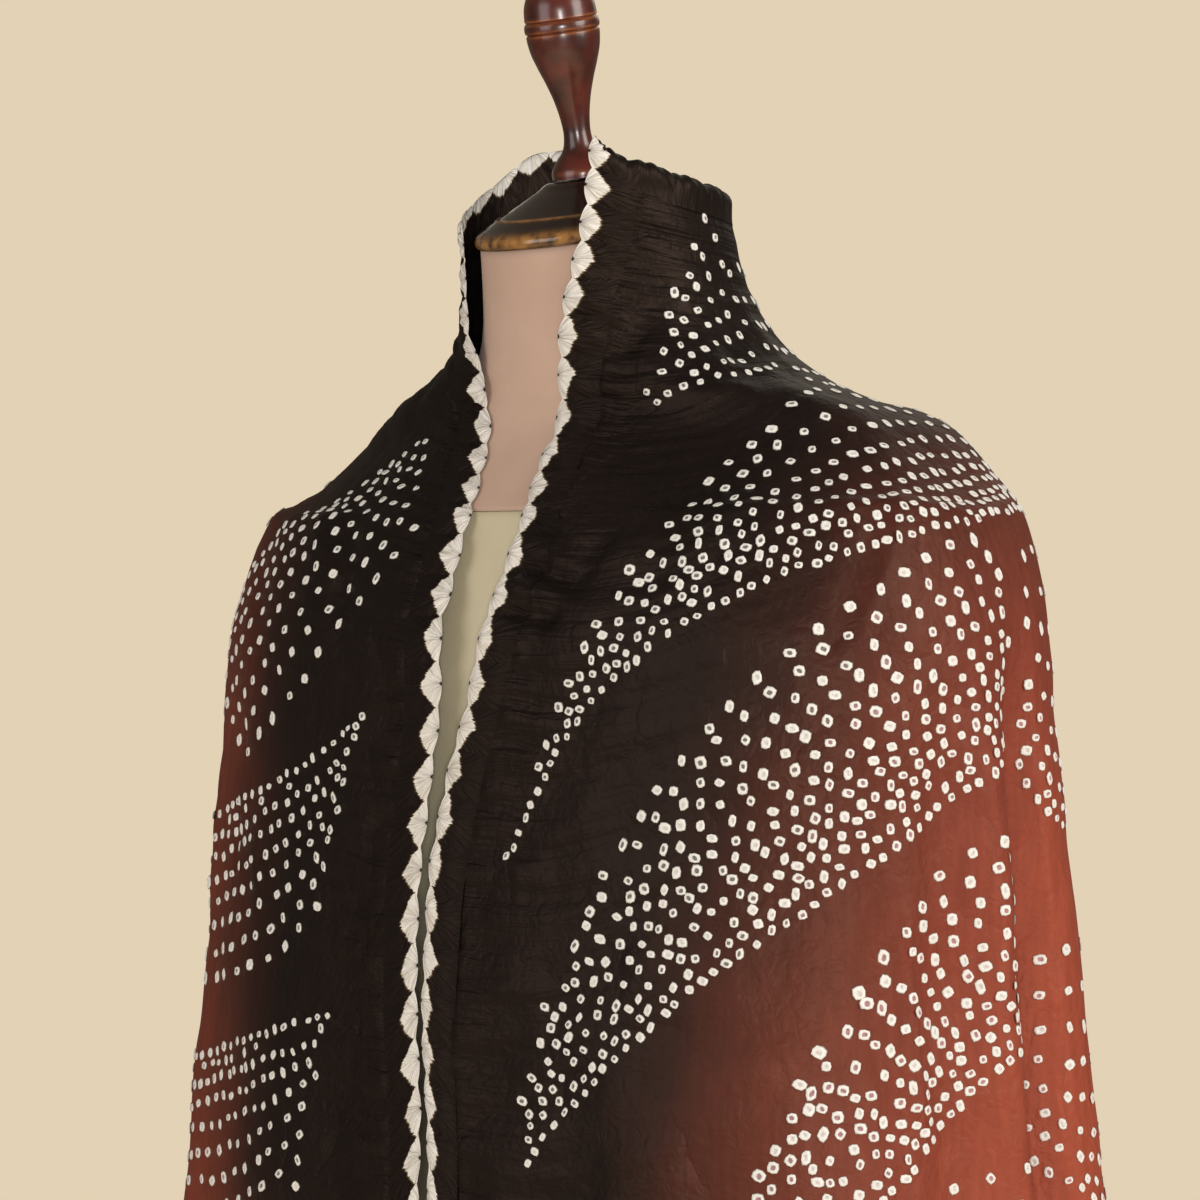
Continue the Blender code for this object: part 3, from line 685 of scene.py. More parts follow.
def lacquer_worn_and_highlit(name, dark, light, gold_wear_and_highlight, roughness, coat_roughness):
    """Lacquer rubbed through to a golden ground where a turned piece is worn, the gold also painted there as
    a highlight and reflection on edges that catch light.
    """
    material, tree, shader = new_material(name, roughness, Coat_Weight=0.8, Coat_Roughness=coat_roughness)
    place = object_place(tree)
    grain = add_noise(tree, place, 60.0, detail=4.0)
    tint = add_ramp(tree, grain, [(0.35, dark), (0.65, light)])
    # Gold where the marks lie: worn lacquer together with a painted highlight and reflection on edges
    worn_and_highlit = add_node(tree, "ShaderNodeAttribute", attribute_name="worn_and_highlit").outputs["Fac"]
    patch = add_noise(tree, place, 130.0, detail=3.0)
    share = add_math(tree, "MULTIPLY", worn_and_highlit, add_math(tree, "MULTIPLY_ADD", patch, 3.0, -0.7, clamp=True))
    tree.links.new(add_mix(tree, share, tint, gold_wear_and_highlight), shader.inputs["Base Color"])
    add_bump(tree, shader, patch, 0.0002, 0.3)
    return material


def stage_material():
    material, tree, shader = new_material("pale_floor", 0.9)
    add_clouds(tree, shader, object_place(tree), 1.2, 3.0, (226, 212, 184), (232, 219, 192))
    return material


# Meshes


def add_object(name, mesh, material):
    mesh.materials.append(material)
    obj = bpy.data.objects.new(name, mesh)
    bpy.context.scene.collection.objects.link(obj)
    return obj


def section_radius(angle, half_width, front, back, squareness):
    """How far a rounded section reaches from its centre at an angle in radians from the back."""
    depth = np.where(np.cos(angle) < 0.0, front, back)
    across = np.abs(np.sin(angle) / half_width) ** squareness
    along = np.abs(np.cos(angle) / depth) ** squareness
    return (across + along) ** (-1.0 / squareness)


def ring_points(ring):
    """The points of one ring of the form, tilted forward about the line through its centre."""
    height, centre_y, half_width, front, back, tilt, squareness = ring
    points = []
    for step in range(RING_POINTS):
        angle = 2 * math.pi * step / RING_POINTS
        radius = float(section_radius(angle, half_width, front, back, squareness))
        along = radius * math.cos(angle)
        drop = along * math.sin(math.radians(tilt))
        y = centre_y + along * math.cos(math.radians(tilt))
        points.append((radius * math.sin(angle), y, height + drop))
    return points


def make_torso(name, rings, material):
    """A closed loft through the rings, with its two flat ends kept sharp."""
    mesh = bpy.data.meshes.new(name)
    shape = bmesh.new()
    loops = [[shape.verts.new(point) for point in ring_points(ring)] for ring in rings]
    for lower, upper in zip(loops, loops[1:]):
        for step in range(RING_POINTS):
            after = (step + 1) % RING_POINTS
            shape.faces.new((lower[after], lower[step], upper[step], upper[after]))
    shape.faces.new(loops[0])
    shape.faces.new(list(reversed(loops[-1])))
    crease = shape.edges.layers.float.new("crease_edge")
    for loop in (loops[0], loops[-1]):
        for start, end in zip(loop, loop[1:] + loop[:1]):
            shape.edges.get((start, end))[crease] = 1.0
    bmesh.ops.recalc_face_normals(shape, faces=shape.faces)
    shape.to_mesh(mesh)
    shape.free()
    mesh.shade_smooth()
    obj = add_object(name, mesh, material)
    soften = obj.modifiers.new("Soften", "SUBSURF")
    soften.levels = 3
    soften.render_levels = 3
    return obj


def form_skin(pieces):
    """The form's outer skin, without the flat ends where its pieces meet or the cap sits."""
    bpy.context.view_layer.update()
    graph = bpy.context.evaluated_depsgraph_get()
    neck_axis = Vector((0.0, -math.sin(NECK_LEAN), math.cos(NECK_LEAN)))
    points = []
    faces = []
    for piece in pieces:
        mesh = piece.evaluated_get(graph).to_mesh()
        first = len(points)
        points += [vertex.co.copy() for vertex in mesh.vertices]
        for face in mesh.polygons:
            flat_end = abs(face.normal.z) > 0.9999 or face.normal.dot(neck_axis) > 0.9999
            if not flat_end:
                faces.append([first + index for index in face.vertices])
        piece.evaluated_get(graph).to_mesh_clear()
    return BVHTree.FromPolygons(points, faces)


def smooth_profile(points, step):
    """A turned profile read from a curve through its points, with sharp corners where a point is doubled."""
    runs = [[points[0]]]
    for before, point in zip(points, points[1:]):
        if point == before:
            runs.append([point])
        else:
            runs[-1].append(point)
    smooth = []
    for run in runs:
        run = np.array(run)
        length = np.concatenate([[0.0], np.cumsum(np.linalg.norm(np.diff(run, axis=0), axis=1))])
        count = max(2, int(length[-1] / step) + 1)
        wanted = np.linspace(0.0, length[-1], count)
        rows = np.column_stack([length, run])
        smooth += np.stack(read_table(rows, wanted), axis=-1).tolist() if len(run) > 2 else run.tolist()
    return smooth


def make_turned(name, profile, material, step=0.0012, turns=72, worn_and_highlit=()):
    """A turned piece about Z.

    The last argument lists radius, height, reach and strength of gold marks where the lacquer is rubbed
    through, which also serve as a painted highlight and reflection on rims and groove edges.
    """
    smooth = smooth_profile(profile, step)
    outline = smooth[:1]
    for point in smooth[1:]:
        if math.dist(point, outline[-1]) > 1e-6:
            outline.append(point)
    mesh = bpy.data.meshes.new(name)
    shape = bmesh.new()
    loops = []
    for radius, height in outline:
        if radius < 1e-6:
            loops.append([shape.verts.new((0.0, 0.0, height))])
            continue
        angles = [2 * math.pi * turn / turns for turn in range(turns)]
        loops.append([shape.verts.new((radius * math.cos(a), radius * math.sin(a), height)) for a in angles])
    for upper, lower in zip(loops, loops[1:]):
        for turn in range(turns):
            after = (turn + 1) % turns
            corners = [upper[turn % len(upper)], lower[turn % len(lower)], lower[after % len(lower)]]
            if len(upper) > 1:
                corners.append(upper[after])
            if len(lower) == 1:
                corners.remove(lower[0])
            shape.faces.new(corners)
    shape.to_mesh(mesh)
    shape.free()
    mesh.shade_smooth()
    mesh.set_sharp_from_angle(angle=math.radians(38.0))
    # Gold marks: rubbed lacquer, and also a painted highlight and reflection on the rims and groove edges
    if worn_and_highlit:
        share = mesh.attributes.new("worn_and_highlit", "FLOAT", "POINT")
        for vertex in mesh.vertices:
            spot = (math.hypot(vertex.co.x, vertex.co.y), vertex.co.z)
            share.data[vertex.index].value = max(
                math.exp(-((math.dist(spot, (radius, height)) / reach) ** 2)) * strength
                for radius, height, reach, strength in worn_and_highlit
            )
    return add_object(name, mesh, material)


def seat_on_neck(obj, height):
    """Places a turned piece on the leaning neck's axis, a height above the neck's flat top."""
    axis = Vector((0.0, -math.sin(NECK_LEAN), math.cos(NECK_LEAN)))
    obj.location = Vector((0.0, NECK_TOP_Y, NECK_TOP_HEIGHT)) + axis * height
    obj.rotation_euler.x = NECK_LEAN


# The cloth's surface as a function. A place runs round the body from -1 at the right front edge to 1 at
# the left one. A level runs down the cloth: 0 at the collar's crest, 1 at its foot, 2 below the shoulders,
# 3 at the hem


def crest_and_hem(places):
    """Heights of the collar's crest and of the hem."""
    hem_left, hem_right = read_table(HEM, np.abs(places))
    return read_table(COLLAR, places)[0], np.where(places > 0.0, hem_left, hem_right)


def front_turn(degrees, half_width, front, squareness, height):
    """The angle from the middle of the back to the front edge on the side that degrees names."""
    left_x, right_x = read_table(FRONT_EDGES, height)
    edge_x = np.where(degrees > 0.0, left_x, -right_x)
    edge_depth = front * (1.0 - np.abs(edge_x / half_width) ** squareness) ** (1.0 / squareness)
    return math.pi - np.arctan(edge_x / edge_depth)


def surface_heights(places, levels):
    crest, hem = crest_and_hem(places)
    collar = crest + (COLLAR_FOOT_HEIGHT - crest) * levels
    shoulder = COLLAR_FOOT_HEIGHT + (HANG_TOP_HEIGHT - COLLAR_FOOT_HEIGHT) * (levels - 1.0)
    hang = HANG_TOP_HEIGHT + (hem - HANG_TOP_HEIGHT) * (levels - 2.0)
    return np.where(levels < 1.0, collar, np.where(levels < 2.0, shoulder, hang))


def level_at(places, heights):
    """The level at which the cloth passes a height."""
    crest, hem = crest_and_hem(places)
    collar = (crest - heights) / (crest - COLLAR_FOOT_HEIGHT)
    shoulder = 1.0 + (COLLAR_FOOT_HEIGHT - heights) / (COLLAR_FOOT_HEIGHT - HANG_TOP_HEIGHT)
    hang = 2.0 + (HANG_TOP_HEIGHT - heights) / (HANG_TOP_HEIGHT - hem)
    return np.where(heights > COLLAR_FOOT_HEIGHT, collar, np.where(heights > HANG_TOP_HEIGHT, shoulder, hang))


def fold_depth(degrees, heights):
    """How far the folds move the cloth out or in."""
    fuller = 1.0 + HEM_FULLNESS * eased((FULLNESS_TOP - heights) / FULLNESS_DROP)
    moved = np.zeros_like(heights)
    for angle, half_width, depth, starts, whole, drift in FOLDS:
        middle = angle + drift * (starts - heights)
        grown = eased((starts - heights) / (starts - whole))
        moved += depth * grown * np.exp(-(((degrees - middle) / half_width) ** 2))
    return moved * np.where(np.abs(moved) > 0.015, 1.0, fuller)


def crease_depth(degrees, heights, radius):
    """How far the listed creases move the cloth: a soft stroke along each line."""
    moved = np.zeros_like(heights)
    across = np.radians(degrees) * radius
    for start_angle, start_height, end_angle, end_height, half_width, depth in CREASES:
        start_x = math.radians(start_angle) * radius
        run_x = math.radians(end_angle - start_angle) * radius
        run_z = end_height - start_height
        along = ((across - start_x) * run_x + (heights - start_height) * run_z) / (run_x**2 + run_z**2)
        inside = np.clip(along, 0.0, 1.0)
        away = np.hypot(across - start_x - inside * run_x, heights - start_height - inside * run_z)
        taper = eased(4.0 * inside) * eased(4.0 * (1.0 - inside))
        moved += depth * (0.15 + 0.85 * taper) * np.exp(-((away / half_width) ** 2))
    return moved


def wall_points(places, levels):
    """Points of the cloth below its crest, with the outward way and the angle round the body."""
    heights = surface_heights(places, levels)
    centre_y, half_width, front, back, squareness = read_table(SHAWL_SECTIONS, heights)
    angle = places * front_turn(places, half_width, front, squareness, heights)
    radius = section_radius(angle, half_width, front, back, squareness)
    degrees = np.degrees(angle)
    moved = fold_depth(degrees, heights) + crease_depth(degrees, heights, radius)
    radius = radius + moved
    points = np.stack([radius * np.sin(angle), centre_y + radius * np.cos(angle), heights], axis=-1)
    return points, centre_y


def surface(places, levels):
    """Points of the cloth. Levels from -1 to 0 are the strip above the crest, which rolls inward."""
    places, levels = np.broadcast_arrays(np.asarray(places, dtype=float), np.asarray(levels, dtype=float))
    points, _ = wall_points(places, np.maximum(levels, 0.0))
    if (levels >= 0.0).all():
        return points
    crest, centre_y = wall_points(places, np.zeros_like(levels))
    below, _ = wall_points(places, np.full_like(levels, 1.0 / 3.0))
    up = crest - below
    up /= np.linalg.norm(up, axis=-1, keepdims=True)
    inward = np.stack([-crest[..., 0], centre_y - crest[..., 1], np.zeros_like(centre_y)], axis=-1)
    inward /= np.linalg.norm(inward, axis=-1, keepdims=True)
    run = np.clip(-levels, 0.0, 1.0) * ROLLED_STRIP
    bend = np.maximum(read_table(COLLAR, places)[1], 0.01) * ROLL_TURN / ROLLED_STRIP
    rise = (np.sin(bend * run) / bend)[..., None]
    tuck = ((1.0 - np.cos(bend * run)) / bend)[..., None]
    rolled = crest + rise * up + tuck * inward
    return np.where((levels < 0.0)[..., None], rolled, points)


def metres_per_place(places, levels):
    step = 0.01
    ends = surface(places + step, levels), surface(places - step, levels)
    return np.linalg.norm(ends[0] - ends[1], axis=-1) / (2 * step)


def settle(points, skin):
    """Lifts the cloth clear of the form where it would sink in, and lets it touch where it nearly does."""
    flat = points.reshape(-1, 3)
    for index, point in enumerate(flat):
        point = Vector(point)
        nearest, normal, _, distance = skin.find_nearest(point)
        if distance > CLING_REACH:
            continue
        away = math.copysign(distance, (point - nearest).dot(normal))
        freed = float(eased((away - CLING_TOUCH) / (CLING_REACH - CLING_TOUCH)))
        freed = max(freed, float(eased((point.z - CLING_TOP) / CLING_FADE)))
        outward = (point - nearest).normalized() if away > 0.0 else normal
        flat[index] = nearest + outward * (CLOTH_SEAT + max(0.0, away - CLOTH_SEAT) * freed)
    return flat.reshape(points.shape)


def grid_normals(points):
    """Outward unit normals of a grid of points, rows running down and columns towards the left."""
    down = np.gradient(points, axis=0)
    across = np.gradient(points, axis=1)
    normals = np.cross(across, down)
    return normals / np.maximum(np.linalg.norm(normals, axis=-1, keepdims=True), 1e-12)


def run_length(points, axis):
    """Length along the grid lines from their start."""
    steps = np.linalg.norm(np.diff(points, axis=axis), axis=-1)
    start = np.zeros_like(np.take(steps, [0], axis=axis))
    return np.cumsum(np.concatenate([start, steps], axis=axis), axis=axis)


def grid_mesh(name, points, uv_name, uvs, material, outward=1.0):
    """A sheet of quads through a grid of points. outward is -1 where its columns run to the right."""
    rows, columns = points.shape[:2]
    index = np.arange(rows * columns).reshape(rows, columns)
    corners = [index[:-1, :-1], index[:-1, 1:], index[1:, 1:], index[1:, :-1]]
    if outward < 0.0:
        corners.reverse()
    quads = np.stack(corners, axis=-1).reshape(-1, 4)
    mesh = bpy.data.meshes.new(name)
    mesh.from_pydata(points.reshape(-1, 3).tolist(), [], quads.tolist())
    layer = mesh.uv_layers.new(name=uv_name)
    layer.data.foreach_set("uv", uvs.reshape(-1, 2)[quads.reshape(-1)].astype(np.float32).reshape(-1))
    mesh.shade_smooth()
    return add_object(name, mesh, material)


def soft_noise(points, scale, seed):
    """Blender's noise at each point, from about -1 to 1, without a loop in the caller."""
    flat = points.reshape(-1, 3) * scale + seed
    values = np.array([noise.noise(Vector(point)) for point in flat])
    return values.reshape(points.shape[:-1])


def soft_distance(first, second):
    """The smaller of two distances, rounded off where they are alike."""
    power = 4.0
    floor = 1e-4
    return (np.maximum(first, floor) ** -power + np.maximum(second, floor) ** -power) ** (-1.0 / power)


def gather_height(along, inward):
    """Fine gathers that run into the cloth from its tied edge, strong there and gone a hand's width in."""
    nothing = np.zeros_like(along)
    wander = along + 0.006 * soft_noise(np.stack([along * 9.0, inward * 22.0, nothing], axis=-1), 1.0, 5.0)
    moved = np.zeros_like(along)
    for waves, inward_waves, layer, seed, crown, sharpness, height, reach in GATHERS:
        place = np.stack([wander * waves, inward * inward_waves, nothing + layer], axis=-1)
        ripple = crown - np.abs(soft_noise(place, 1.0, seed)) * sharpness
        moved += ripple * height * np.exp(-inward / reach)
    return moved


def spread_runs(runs):
    """The places or levels of runs that join end to end, with the last run's end."""
    spread = [np.linspace(start, end, count, endpoint=False) for start, end, count in runs]
    return np.concatenate(spread + [[runs[-1][1]]])


def make_sheet(skin, material):
    """The dyed sheet inside its border, and the grid that carries the dots."""
    inner = BORDER_WIDTH - BORDER_LAP
    collar_drop = read_table(COLLAR, np.zeros(1))[0][0] - COLLAR_FOOT_HEIGHT
    first = (inner - ROLLED_STRIP) / collar_drop
    levels = spread_runs(((first, 1.0, ROWS_ON_COLLAR), *ROW_RUNS))[:, None]
    places = spread_runs(COLUMN_RUNS)[None, :]
    edge = 1.0 - inner / metres_per_place(np.sign(places + 1e-9) * 0.98, levels)
    places = places * edge
    levels = np.broadcast_to(levels, places.shape)
    points = surface(places, levels)
    from_right = run_length(points, 1)
    from_left = from_right[:, -1:] - from_right
    sideways = np.minimum(from_right, from_left) + inner
    down = run_length(points, 0) + inner
    # On the right, t is stretched so the dye turns to rust sooner: painted light that makes the weakly lit
    # side lighter
    t = soft_distance(sideways, down) * (1.0 + RIGHT_PAINTED_LIGHT * eased(-places / RIGHT_PAINTED_LIGHT_REACH))
    points = settle(points, skin)
    lumps = sum(soft_noise(points, waves, seed) * height for waves, seed, height in LUMPS)
    lumps = lumps * eased((HANG_TOP_HEIGHT - points[..., 2]) / SHOULDER_FADE + 0.5)
    moved = lumps + gather_height(down, sideways) * eased((sideways - inner) / 0.006)
    moved = np.maximum(moved, -SINK - SINK_LOWER * eased((HANG_TOP_HEIGHT - points[..., 2]) / SHOULDER_FADE))
    points = points + grid_normals(points) * moved[..., None]
    sheet = grid_mesh("shawl_sheet", points, "cloth", np.stack([down, t], axis=-1), material)
    grid = {"points": points, "t": t, "places": places, "levels": levels[:, 0]}
    return sheet, grid


def petal_relief(petal, t):
    """Height of the puffed petals and their pleats above the cloth."""
    across = (petal - np.floor(petal) - 0.5) * PETAL_PITCH
    side = np.abs(across) / PETAL_PITCH * 2.0
    puff = PETAL_PUFF * (1.0 - side**2) * eased(t / 0.004) * eased((BORDER_WIDTH - t) / 0.014)
    angle = np.arctan2(across, t + PETAL_ROOT)
    pleat = PLEAT_HEIGHT * np.sin(angle * 9.0 + np.floor(petal) * 2.1) * eased(t / 0.003)
    return puff + pleat * eased((0.017 - t) / 0.006)


def border_strip(name, places_of, levels_of, skin, material, count, limit, plain=0.0):
    """A strip along the cloth's edge.

    places_of and levels_of give its points for a share along the edge and a t. plain is the length at its
    far end that has no scallops.
    """
    shares = np.linspace(0.0, 1.0, count)[:, None]
    edge = surface(places_of(shares, 0.0), levels_of(shares, 0.0))
    along = run_length(edge, 0)
    length = float(along[-1, 0])
    crowded = (1.0 - PETAL_PITCH_TOP / PETAL_PITCH) * TOP_REACH * (1.0 - np.exp(-along / TOP_REACH))
    petal = along / PETAL_PITCH + crowded / PETAL_PITCH_TOP
    petal = petal / petal[-1, 0] * max(1, round(float(petal[-1, 0])))
    steps = np.linspace(0.0, 1.0, BORDER_COLUMNS)
    base_t = np.broadcast_to(BORDER_WIDTH * steps**1.1, (count, BORDER_COLUMNS))
    base_t = np.minimum(base_t, limit(along, length) * steps)
    bulge = PETAL_BULGE * (1.0 - (2.0 * np.abs(petal - np.floor(petal) - 0.5)) ** 2) - 0.0008
    t = base_t - bulge * (1.0 - base_t / BORDER_WIDTH) ** 2
    points = surface(places_of(shares, t), levels_of(shares, t))
    points = settle(points, skin)
    petal = np.broadcast_to(petal, t.shape)
    lift = BORDER_LIFT + petal_relief(petal, base_t)
    normals = grid_normals(points)
    outward = float(np.sign((normals * (points - np.array([0.0, NECK_TOP_Y, 0.0])))[..., :2].sum()))
    points = points + normals * (outward * lift)[..., None]
    dark = PETAL_DEPTH * 2.0 * eased((along - length + plain) / 0.008) if plain else 0.0
    return grid_mesh(name, points, "petal", np.stack([petal, base_t + dark], axis=-1), material, outward)


def make_border(skin, material):
    """The border in three strips: one down each front edge and one round the collar."""
    strips = []
    for side, name in ((1.0, "border_left"), (-1.0, "border_right")):

        def level_of(share, t):
            return np.broadcast_to(4.0 * share**1.15 - 1.0, np.broadcast(share, t).shape)

        def place_of(share, t, side=side):
            level = level_of(share, np.zeros(1))
            return side * (1.0 - t / metres_per_place(np.full_like(level, side * 0.98), level))

        def limit(along, length):
            return np.maximum(along, BORDER_FLOOR)

        strips.append(border_strip(name, place_of, level_of, skin, material, FRONT_ROWS, limit))

    def collar_place(share, t):
        return np.broadcast_to(-1.0 + 2.0 * share, np.broadcast(share, t).shape)

    def collar_level(share, t):
        drop = read_table(COLLAR, collar_place(share, np.zeros(1)))[0] - COLLAR_FOOT_HEIGHT
        on_wall = (t - ROLLED_STRIP) / drop
        return np.where(t < ROLLED_STRIP, t / ROLLED_STRIP - 1.0, on_wall)

    def corner_limit(along, length):
        return np.maximum(np.minimum(along, length - along), BORDER_FLOOR)

    collar = border_strip(
        "border_collar", collar_place, collar_level, skin, material, COLLAR_ROWS, corner_limit, COLLAR_PLAIN
    )
    return [*strips, collar]


def grid_frame(grid, place, level):
    """Point, across and down vectors, and t on the sheet's own mesh at a place and a level."""
    levels = grid["levels"]
    if not levels[0] < level < levels[-1]:
        return None
    row = int(np.searchsorted(levels, level)) - 1
    row_share = (level - levels[row]) / (levels[row + 1] - levels[row])
    places = grid["places"][row]
    if not places[0] < place < places[-1]:
        return None
    column = int(np.searchsorted(places, place)) - 1
    column_share = (place - places[column]) / (places[column + 1] - places[column])
    corners = grid["points"][row : row + 2, column : column + 2]
    top = corners[0, 0] * (1 - column_share) + corners[0, 1] * column_share
    bottom = corners[1, 0] * (1 - column_share) + corners[1, 1] * column_share
    left = corners[0, 0] * (1 - row_share) + corners[1, 0] * row_share
    right = corners[0, 1] * (1 - row_share) + corners[1, 1] * row_share
    return top * (1 - row_share) + bottom * row_share, right - left, bottom - top, grid["t"][row, column]


def bend_through(first, middle, last, share):
    """A point at a share along the arc-like curve through three points."""
    control = [2.0 * m - (a + b) / 2.0 for a, m, b in zip(first, middle, last)]
    keep = 1.0 - share
    return [keep**2 * a + 2 * keep * share * c + share**2 * b for a, c, b in zip(first, control, last)]


def place_at(degrees, height):
    """The place round the cloth at an angle and a height."""
    _, half_width, front, _, squareness = read_table(SHAWL_SECTIONS, height)
    return math.radians(degrees) / front_turn(degrees, half_width, front, squareness, height)


def band_dots(grid, band):
    """Dots along the concentric rows of one band, close in the dense row and wide apart in the sparse one."""
    angles_heights = band[:12]
    rows, dense, sparse = band[12:]
    lower = [angles_heights[index : index + 2] for index in (0, 2, 4)]
    upper = [angles_heights[index : index + 2] for index in (6, 8, 10)]
    found = []
    for row in range(rows):
        rise = (row / (rows - 1)) ** 1.35
        ends = [[a + (b - a) * rise for a, b in zip(low, high)] for low, high in zip(lower, upper)]
        spacing = dense + (sparse - dense) * rise**1.4
        walked = rng.uniform(0.0, spacing)
        before = None
        for step in range(CURVE_STEPS + 1):
            degrees, height = bend_through(*ends, step / CURVE_STEPS)
            place = place_at(degrees, np.array(height))
            spot = grid_frame(grid, place, float(level_at(np.array(place), np.array(height))))
            if spot is None:
                before = None
                continue
            if before is not None:
                walked += float(np.linalg.norm(spot[0] - before))
            before = spot[0]
            if walked >= spacing:
                walked -= spacing * rng.uniform(0.86, 1.14)
                centre, across, down, t = spot
                for way in (across, down):
                    centre = centre + way / np.linalg.norm(way) * rng.uniform(-DOT_STRAY, DOT_STRAY)
                found.append((centre, across, down, t, rise))
    return found


def dot_mesh(name, dots, material):
    """Every dot as a small puckered cushion: a pit, a raised ring and a flush rim."""
    white, rim_tint, blush = (
        np.array([to_linear(value) for value in tint]) for tint in (DOT_WHITE, DOT_RIM, DOT_BLUSH)
    )
    points = []
    tints = []
    faces = []
    dye_at = np.array([row[0] for row in DYE])
    dye_tint = np.array([[to_linear(value) for value in row[1:]] for row in DYE])
    for centre, across, down, t, rise in dots:
        across = across / np.linalg.norm(across)
        normal = np.cross(across, down)
        normal /= np.linalg.norm(normal)
        down = np.cross(normal, across)
        turn = rng.uniform(-0.5, 0.5) + math.pi / 4
        black = max(0.0, 1.0 - t / 0.24)
        size = rng.uniform(*DOT_SIZES) * (1.0 + 0.26 * rise) * (1.08 - 0.22 * black)
        stretch = rng.uniform(0.80, 1.20)
        dyed = np.array([np.interp(t, dye_at, dye_tint[:, channel]) for channel in range(3)])
        halo = dyed * 0.45 + 0.55 * rim_tint * (0.35 + 0.65 * black)
        open_pit = rng.random() < 0.42 + 0.44 * black
        pit = dyed * 0.8 + 0.20 * white if open_pit else white * 0.72
        pit = pit if t < 0.2 else pit * 0.6 + 0.4 * blush
        shades = {"pit": pit if open_pit else white * 0.85, "pale": white, "rim": halo}
        slide_x, slide_y = (rng.uniform(-0.22, 0.22) * size for _ in range(2))
        slant = rng.uniform(0.0, math.pi)
        pinch = rng.uniform(0.10, 0.55)
        first = len(points)
        pit_height = 0.0001 if open_pit else 0.0005
        points.append(centre + normal * pit_height + across * slide_x + down * slide_y)
        tints.append(pit)
        for reach, height, shade in DOT_RINGS:
            shift = 1.0 - reach / DOT_RINGS[-1][0]
            for segment in range(DOT_SEGMENTS):
                angle = turn + 2 * math.pi * segment / DOT_SEGMENTS
                corner = 1.0 + 0.06 * math.cos(4 * (angle - turn))
                radius = size * reach * corner * rng.uniform(0.93, 1.07)
                if shade == "pit":
                    radius *= 1.0 + pinch * math.cos(2 * (angle - slant))
                x = radius * math.cos(angle) * stretch + slide_x * shift
                y = radius * math.sin(angle) / stretch + slide_y * shift
                points.append(centre + across * x + down * y + normal * height)
                tints.append(shades[shade] * rng.uniform(0.9, 1.0))
        for segment in range(DOT_SEGMENTS):
            after = (segment + 1) % DOT_SEGMENTS
            faces.append((first, first + 1 + after, first + 1 + segment))
            for ring in range(len(DOT_RINGS) - 1):
                inner = first + 1 + ring * DOT_SEGMENTS
                outer = inner + DOT_SEGMENTS
                faces.append((inner + segment, inner + after, outer + after, outer + segment))
    mesh = bpy.data.meshes.new(name)
    mesh.from_pydata([tuple(point) for point in points], [], faces)
    layer = mesh.attributes.new("tint", "FLOAT_COLOR", "POINT")
    rgba = np.ones((len(tints), 4), dtype=np.float32)
    rgba[:, :3] = tints
    layer.data.foreach_set("color", rgba.reshape(-1))
    mesh.shade_smooth()
    return add_object(name, mesh, material)


def make_dots(grid, material):
    """All bands, thinned where two rows come too close, in one piece for each side of the cloth."""
    kept = []
    cells = {}
    for band in DOT_BANDS:
        for dot in band_dots(grid, band):
            cell = tuple(int(value // DOT_CLEAR) for value in dot[0])
            around = itertools.product(*((at - 1, at, at + 1) for at in cell))
            others = [other for near in around for other in cells.get(near, ())]
            if all(np.linalg.norm(other - dot[0]) >= DOT_CLEAR for other in others):
                cells.setdefault(cell, []).append(dot[0])
                kept.append(dot)
    left = [dot for dot in kept if dot[0][0] > 0.0]
    right = [dot for dot in kept if dot[0][0] <= 0.0]
    return [dot_mesh("dots_left", left, material), dot_mesh("dots_right", right, material)]


# The build

taupe = jersey_material()
cream = cover_material()
mahogany_tints = (colour(50, 18, 13), colour(98, 38, 26))
# The third cap tint is the gold of its rim and ring: rubbed lacquer and a painted reflection of the warm
# backdrop
cap_tints = (colour(24, 14, 12), colour(40, 20, 15), colour(178, 128, 70))
mahogany = wood_material("mahogany_lacquer", *mahogany_tints, 0.14, 0.8)
cap_lacquer = lacquer_worn_and_highlit("cap_lacquer", *cap_tints, 0.2, 0.1)
# The finial's gold on its groove edges: part wear, part painted highlight
finial_lacquer = lacquer_worn_and_highlit("finial_lacquer", *mahogany_tints, colour(150, 84, 40), 0.32, 0.2)
cloth = cloth_material()
scallops = border_material()
tied = dot_material()
floor_finish = stage_material()

form_upper = make_torso("form_neck_and_shoulders", UPPER_RINGS, taupe)
form_lower = make_torso("form_lower", BODY_RINGS, cream)
cap = make_turned("cap_turned", CAP_PROFILE, cap_lacquer, worn_and_highlit=CAP_WORN_AND_HIGHLIT)
seat_on_neck(cap, PIECE_GAP)
finial = make_turned("finial_turned", FINIAL_PROFILE, finial_lacquer, worn_and_highlit=FINIAL_WORN_AND_HIGHLIT)
seat_on_neck(finial, PIECE_GAP + CAP_PROFILE[0][1] + PIECE_GAP)
base = make_turned("base_turned", BASE_PROFILE, mahogany, step=0.004, turns=128)
pole = make_turned("pole_turned", POLE_PROFILE, mahogany, step=0.02, turns=48)

skin = form_skin((form_upper, form_lower))
sheet, grid = make_sheet(skin, cloth)
border = make_border(skin, scallops)
dots = make_dots(grid, tied)

pieces = [form_upper, form_lower, cap, finial, base, pole, sheet, *border, *dots]
for piece in pieces:
    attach(piece, "root")
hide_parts("form_upper")
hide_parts("form_body")
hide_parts("neck_cap")
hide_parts("finial")
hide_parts("base")
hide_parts("pole")
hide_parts("shawl")

# Floor, light and camera

FLOOR_RADIUS = 2.6
FLOOR_DROP = 0.0005
bpy.ops.mesh.primitive_circle_add(
    vertices=96, radius=FLOOR_RADIUS, fill_type="NGON", location=(0.0, 0.0, -FLOOR_DROP)
)
floor = bpy.context.object
floor.name = "floor"
floor.data.materials.append(floor_finish)

